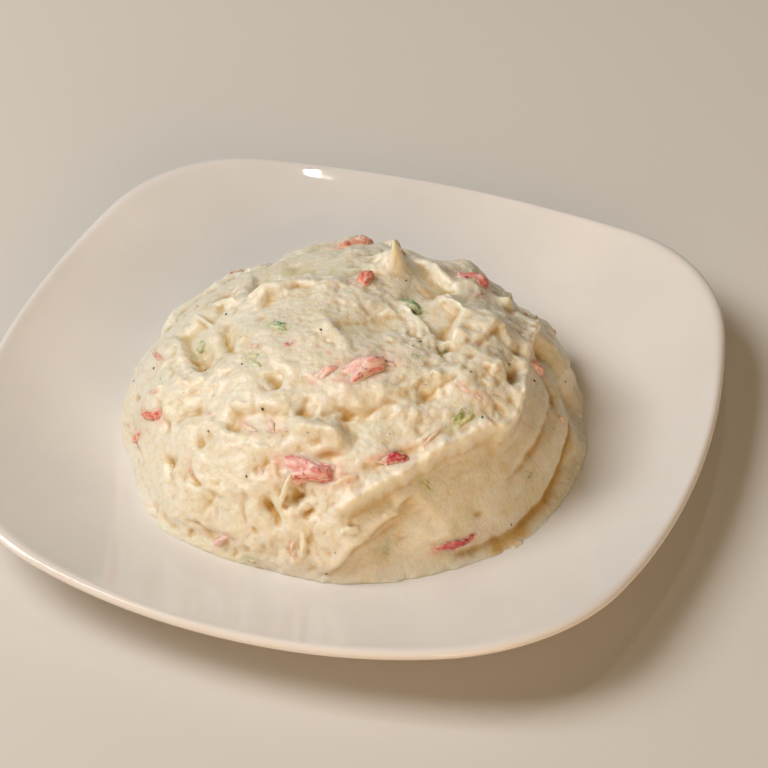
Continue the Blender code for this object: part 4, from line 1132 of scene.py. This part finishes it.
# ------------------------------------------------------------------ cucumber
# Thin chips of cucumber, salted and squeezed before they were stirred in: wet pale green flesh
# with a strip of darker skin along one side.

CHIPS = [
    # name, one end, other end, width, thickness, proud, how dark, how yellow
    ("cucumber_1", (-154, 69), (-145, 73), 2.8, 2.4, 0.5, 0.55, 0.1),
    ("cucumber_2", (46, 77), (33, 72), 2.8, 2.4, 0.5, 0.45, 0.0),
    ("cucumber_3", (-36, 46), (-27, 47), 3.4, 2.4, 0.4, 0.35, 0.9),
    ("cucumber_4", (-20, 15), (-15, 18), 1.6, 2.0, 0.3, 0.95, 0.1),
]

CUCUMBER_CRUMBS = [
    # one end, other end, width, how dark, how yellow
    ((-51, 35), (-48, 31), 2.2, 0.30, 0.9), ((-158, 46), (-163, 49), 2.6, 0.35, 0.3),
    ((-30, 69), (-23, 67), 1.2, 0.40, 0.6), ((38, 34), (34, 33), 1.2, 0.50, 0.5),
    ((-64, 9), (-63, 13), 1.6, 0.20, 0.9), ((-137, 60), (-132, 63), 1.6, 0.12, 0.2),
    ((-135, 60), (-125, 61), 1.6, 0.10, 0.3), ((-166, 38), (-160, 41), 1.4, 0.15, 0.4),
    ((-72, 51), (-70, 51), 0.7, 0.55, 0.4), ((-99, 2), (-95, 4), 1.3, 0.14, 0.6),
    ((-9, 64), (-5, 64), 1.2, 0.90, 0.5), ((-12, 65), (-8, 66), 1.0, 0.70, 0.8),
]
CHIP_SEED = 12
SPARE_CHIPS = 14             # more of them at random, as above

# Salted cucumber: wet, so it glints, and translucent, from a pale inside to a dark green skin.
green, tree, shader = new_material("salted cucumber", Roughness=0.28, IOR=1.38,
                                   Subsurface_Weight=0.6, Subsurface_Scale=0.001)
grain, tint, warmth = [add_node(tree, "ShaderNodeAttribute", attribute_name=name).outputs[socket]
                       for name, socket in BED_MARKS]
across = add_node(tree, "ShaderNodeSeparateXYZ", {"Vector": grain})
skin_side = stretched(tree, across.outputs[1], -0.0010, 0.0012)
cells = add_node(tree, "ShaderNodeTexNoise", {"Vector": grain},
                 {"Scale": scale_for(1.25), "Detail": 2.0})
depth = add_node(tree, "ShaderNodeMath", {0: tint, 1: skin_side}, operation="MULTIPLY_ADD")
tree.links.new(cells.outputs[0], depth.inputs[2])
pale, middling, dark = [mixed(tree, warmth, linear(cold), linear(warm)) for cold, warm in
                        (("#D3DCC0", "#DAD8A4"), ("#8DAF8C", "#9FA45A"), ("#3F7058", "#5C6A2C"))]
look = mixed(tree, stretched(tree, depth.outputs[0], 0.45, 0.80), pale, middling)
look = mixed(tree, stretched(tree, depth.outputs[0], 0.80, 1.30), look, dark)
tree.links.new(smeared(tree, look, grain, 0.4), shader.inputs["Base Color"])
wet = add_node(tree, "ShaderNodeBump", {"Height": cells.outputs[0]}, {"Strength": 0.4, "Distance": 0.0004})
tree.links.new(wet.outputs[0], shader.inputs["Normal"])

for name, start, end, width, thickness, proud, tint, warmth in CHIPS:
    bed = (start, end, width, thickness, proud, 0.26, tint, warmth)
    chip = scraps_mesh(name + "_chip", fine_bars, [bed])
    settle(chip, name + "_chip", green)
    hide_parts(name)

lines = [(start, end, width, 0.45) for _, start, end, width, _, _, _, _ in CHIPS]
lines += [(start, end, width, 0.5) for start, end, width, _, _ in CUCUMBER_CRUMBS]
place_marks(heap, "greenish", bleed_round(lines, 0.6, 62))
beds = small_beds(CUCUMBER_CRUMBS, 0.10, np.random.default_rng(CHIP_SEED), SPARE_CHIPS,
                  (1.5, 4.5), (0.8, 2.2), (0.1, 0.8))
chips = scraps_mesh("cucumber_crumbs", [knobbly(seed, 3) for seed in (41, 42, 43)], beds)
settle(chips, "cucumber_crumbs", green)


# ------------------------------------------------------------------ pepper
# Coarsely ground black pepper: angular dark brown splinters, most of them under a millimetre long.

PEPPER = [
    # place, length
    ((-118, 79), 1.1), ((-110, 52), 1.5), ((-122, 38), 0.9), ((-88, 49), 0.6), ((-26, 44), 1.0),
    ((-11, 71), 1.1), ((-22, 71), 0.7), ((-17, 55), 1.0), ((1, 48), 1.0), ((-103, 32), 0.9),
    ((-164, 19), 0.7), ((-134, 58), 0.8), ((-162, 34), 0.7), ((-76, 13), 0.5), ((-78, 4), 0.8),
    ((-101, -1), 0.6), ((-29, 6), 0.8), ((-58, 50), 0.5), ((-35, 60), 0.5), ((-140, 40), 0.4),
]
PEPPER_SEED = 13
SPARE_PEPPER = 18            # more of it at random, as above

# Cracked peppercorn: dry and matt, dark brown on the husk and paler where it broke.
ground_pepper, tree, shader = new_material("ground black pepper", Roughness=0.6)
spot = add_node(tree, "ShaderNodeTexCoord").outputs["Object"]
husk = add_node(tree, "ShaderNodeTexNoise", {"Vector": spot},
                {"Scale": scale_for(0.4), "Detail": 2.0})
tree.links.new(mixed(tree, husk.outputs[0], linear("#231A14"), linear("#5A4634")),
               shader.inputs["Base Color"])

draw = np.random.default_rng(PEPPER_SEED)
grains = list(PEPPER)
for _ in range(SPARE_PEPPER):
    rise = math.degrees(math.asin(draw.uniform(0.0, 0.95)))
    grains.append(((draw.uniform(10.0, 215.0), rise), draw.uniform(0.4, 1.1)))
frames = []
for place, length in grains:
    seat, out = lying_on_heap(*place)
    sizes = length * np.array([1.0, draw.uniform(0.45, 0.7), draw.uniform(0.35, 0.6)])
    frames.append((draw.integers(3), seat + out * 0.05, ways_at(out, draw.uniform(-3.0, 3.0)), sizes))
pepper = strewn("pepper", [knobbly(seed, 1) for seed in (51, 52, 53)], frames)
settle(pepper, "pepper", ground_pepper)


# ------------------------------------------------------------------ table top, light and camera
# A pale table top, a broad soft lamp from the left, a warm low one from the right that fills the
# shade, a small one overhead that glints on the glaze, and the photograph's own viewpoint.

bpy.ops.object.select_all(action="DESELECT")
bpy.ops.mesh.primitive_plane_add(size=6.0, location=(0, 0, 0))
table_top = bpy.context.active_object
bpy.ops.object.transform_apply()
table_top.name = "table_top"

# Painted board: matt and almost even, so that it stays quiet under the plate.
painted, tree, shader = new_material("pale painted board", Roughness=0.7)
spot = add_node(tree, "ShaderNodeTexCoord").outputs["Object"]
speckle = add_node(tree, "ShaderNodeTexNoise", {"Vector": spot},
                   {"Scale": scale_for(111.0), "Detail": 5.0})
tree.links.new(mixed(tree, speckle.outputs[0], linear("#D6D3CF"), linear("#DAD7D3")),
               shader.inputs["Base Color"])
table_top.data.materials.append(painted)

VIEW_AZIMUTH = math.radians(18.309)
VIEW_HEIGHT = math.radians(40.141)
VIEW_DISTANCE = 1.0706
VIEW_TARGET = Vector((9.249, 5.877, 20.0)) * MM
LENS_LENGTH = 168.75         # mm, for a sensor 36 mm wide
SENSOR_WIDTH = 36.0
level = math.cos(VIEW_HEIGHT)
back = Vector((math.sin(VIEW_AZIMUTH) * level, -math.cos(VIEW_AZIMUTH) * level, math.sin(VIEW_HEIGHT)))
bpy.ops.object.camera_add(location=VIEW_TARGET + back * VIEW_DISTANCE,
                          rotation=back.to_track_quat("Z", "Y").to_euler())
camera = bpy.context.active_object
camera.data.lens = LENS_LENGTH
camera.data.sensor_width = SENSOR_WIDTH
bpy.context.scene.camera = camera


def soft_lamp(name, bearing, rise, distance, width, power, tint):
    """A square soft lamp that faces the heap; its bearing is anticlockwise from +X."""
    turn, lift = math.radians(bearing), math.radians(rise)
    way = Vector((math.cos(lift) * math.cos(turn), math.cos(lift) * math.sin(turn), math.sin(lift)))
    bpy.ops.object.light_add(type="AREA", location=way * distance,
                             rotation=way.to_track_quat("Z", "Y").to_euler())
    lamp = bpy.context.active_object
    lamp.name = name
    lamp.data.size = width
    lamp.data.energy = power
    lamp.data.color = linear(tint)[:3]


soft_lamp("key_lamp", 197.0, 51.0, 1.5, 0.8, 18.6, "#FFFBF6")
soft_lamp("ceiling_lamp", 101.0, 78.0, 1.5, 0.03, 0.7, "#FFF4E4")
soft_lamp("fill_lamp", 300.0, 16.0, 1.8, 1.2, 17.4, "#FFD5A4")
sky = bpy.data.worlds.new("studio")
bpy.context.scene.world = sky
sky.use_nodes = True
sky.node_tree.nodes["Background"].inputs[0].default_value = linear("#EDD3A4")
sky.node_tree.nodes["Background"].inputs[1].default_value = 0.15
bpy.context.scene.view_settings.view_transform = "Standard"
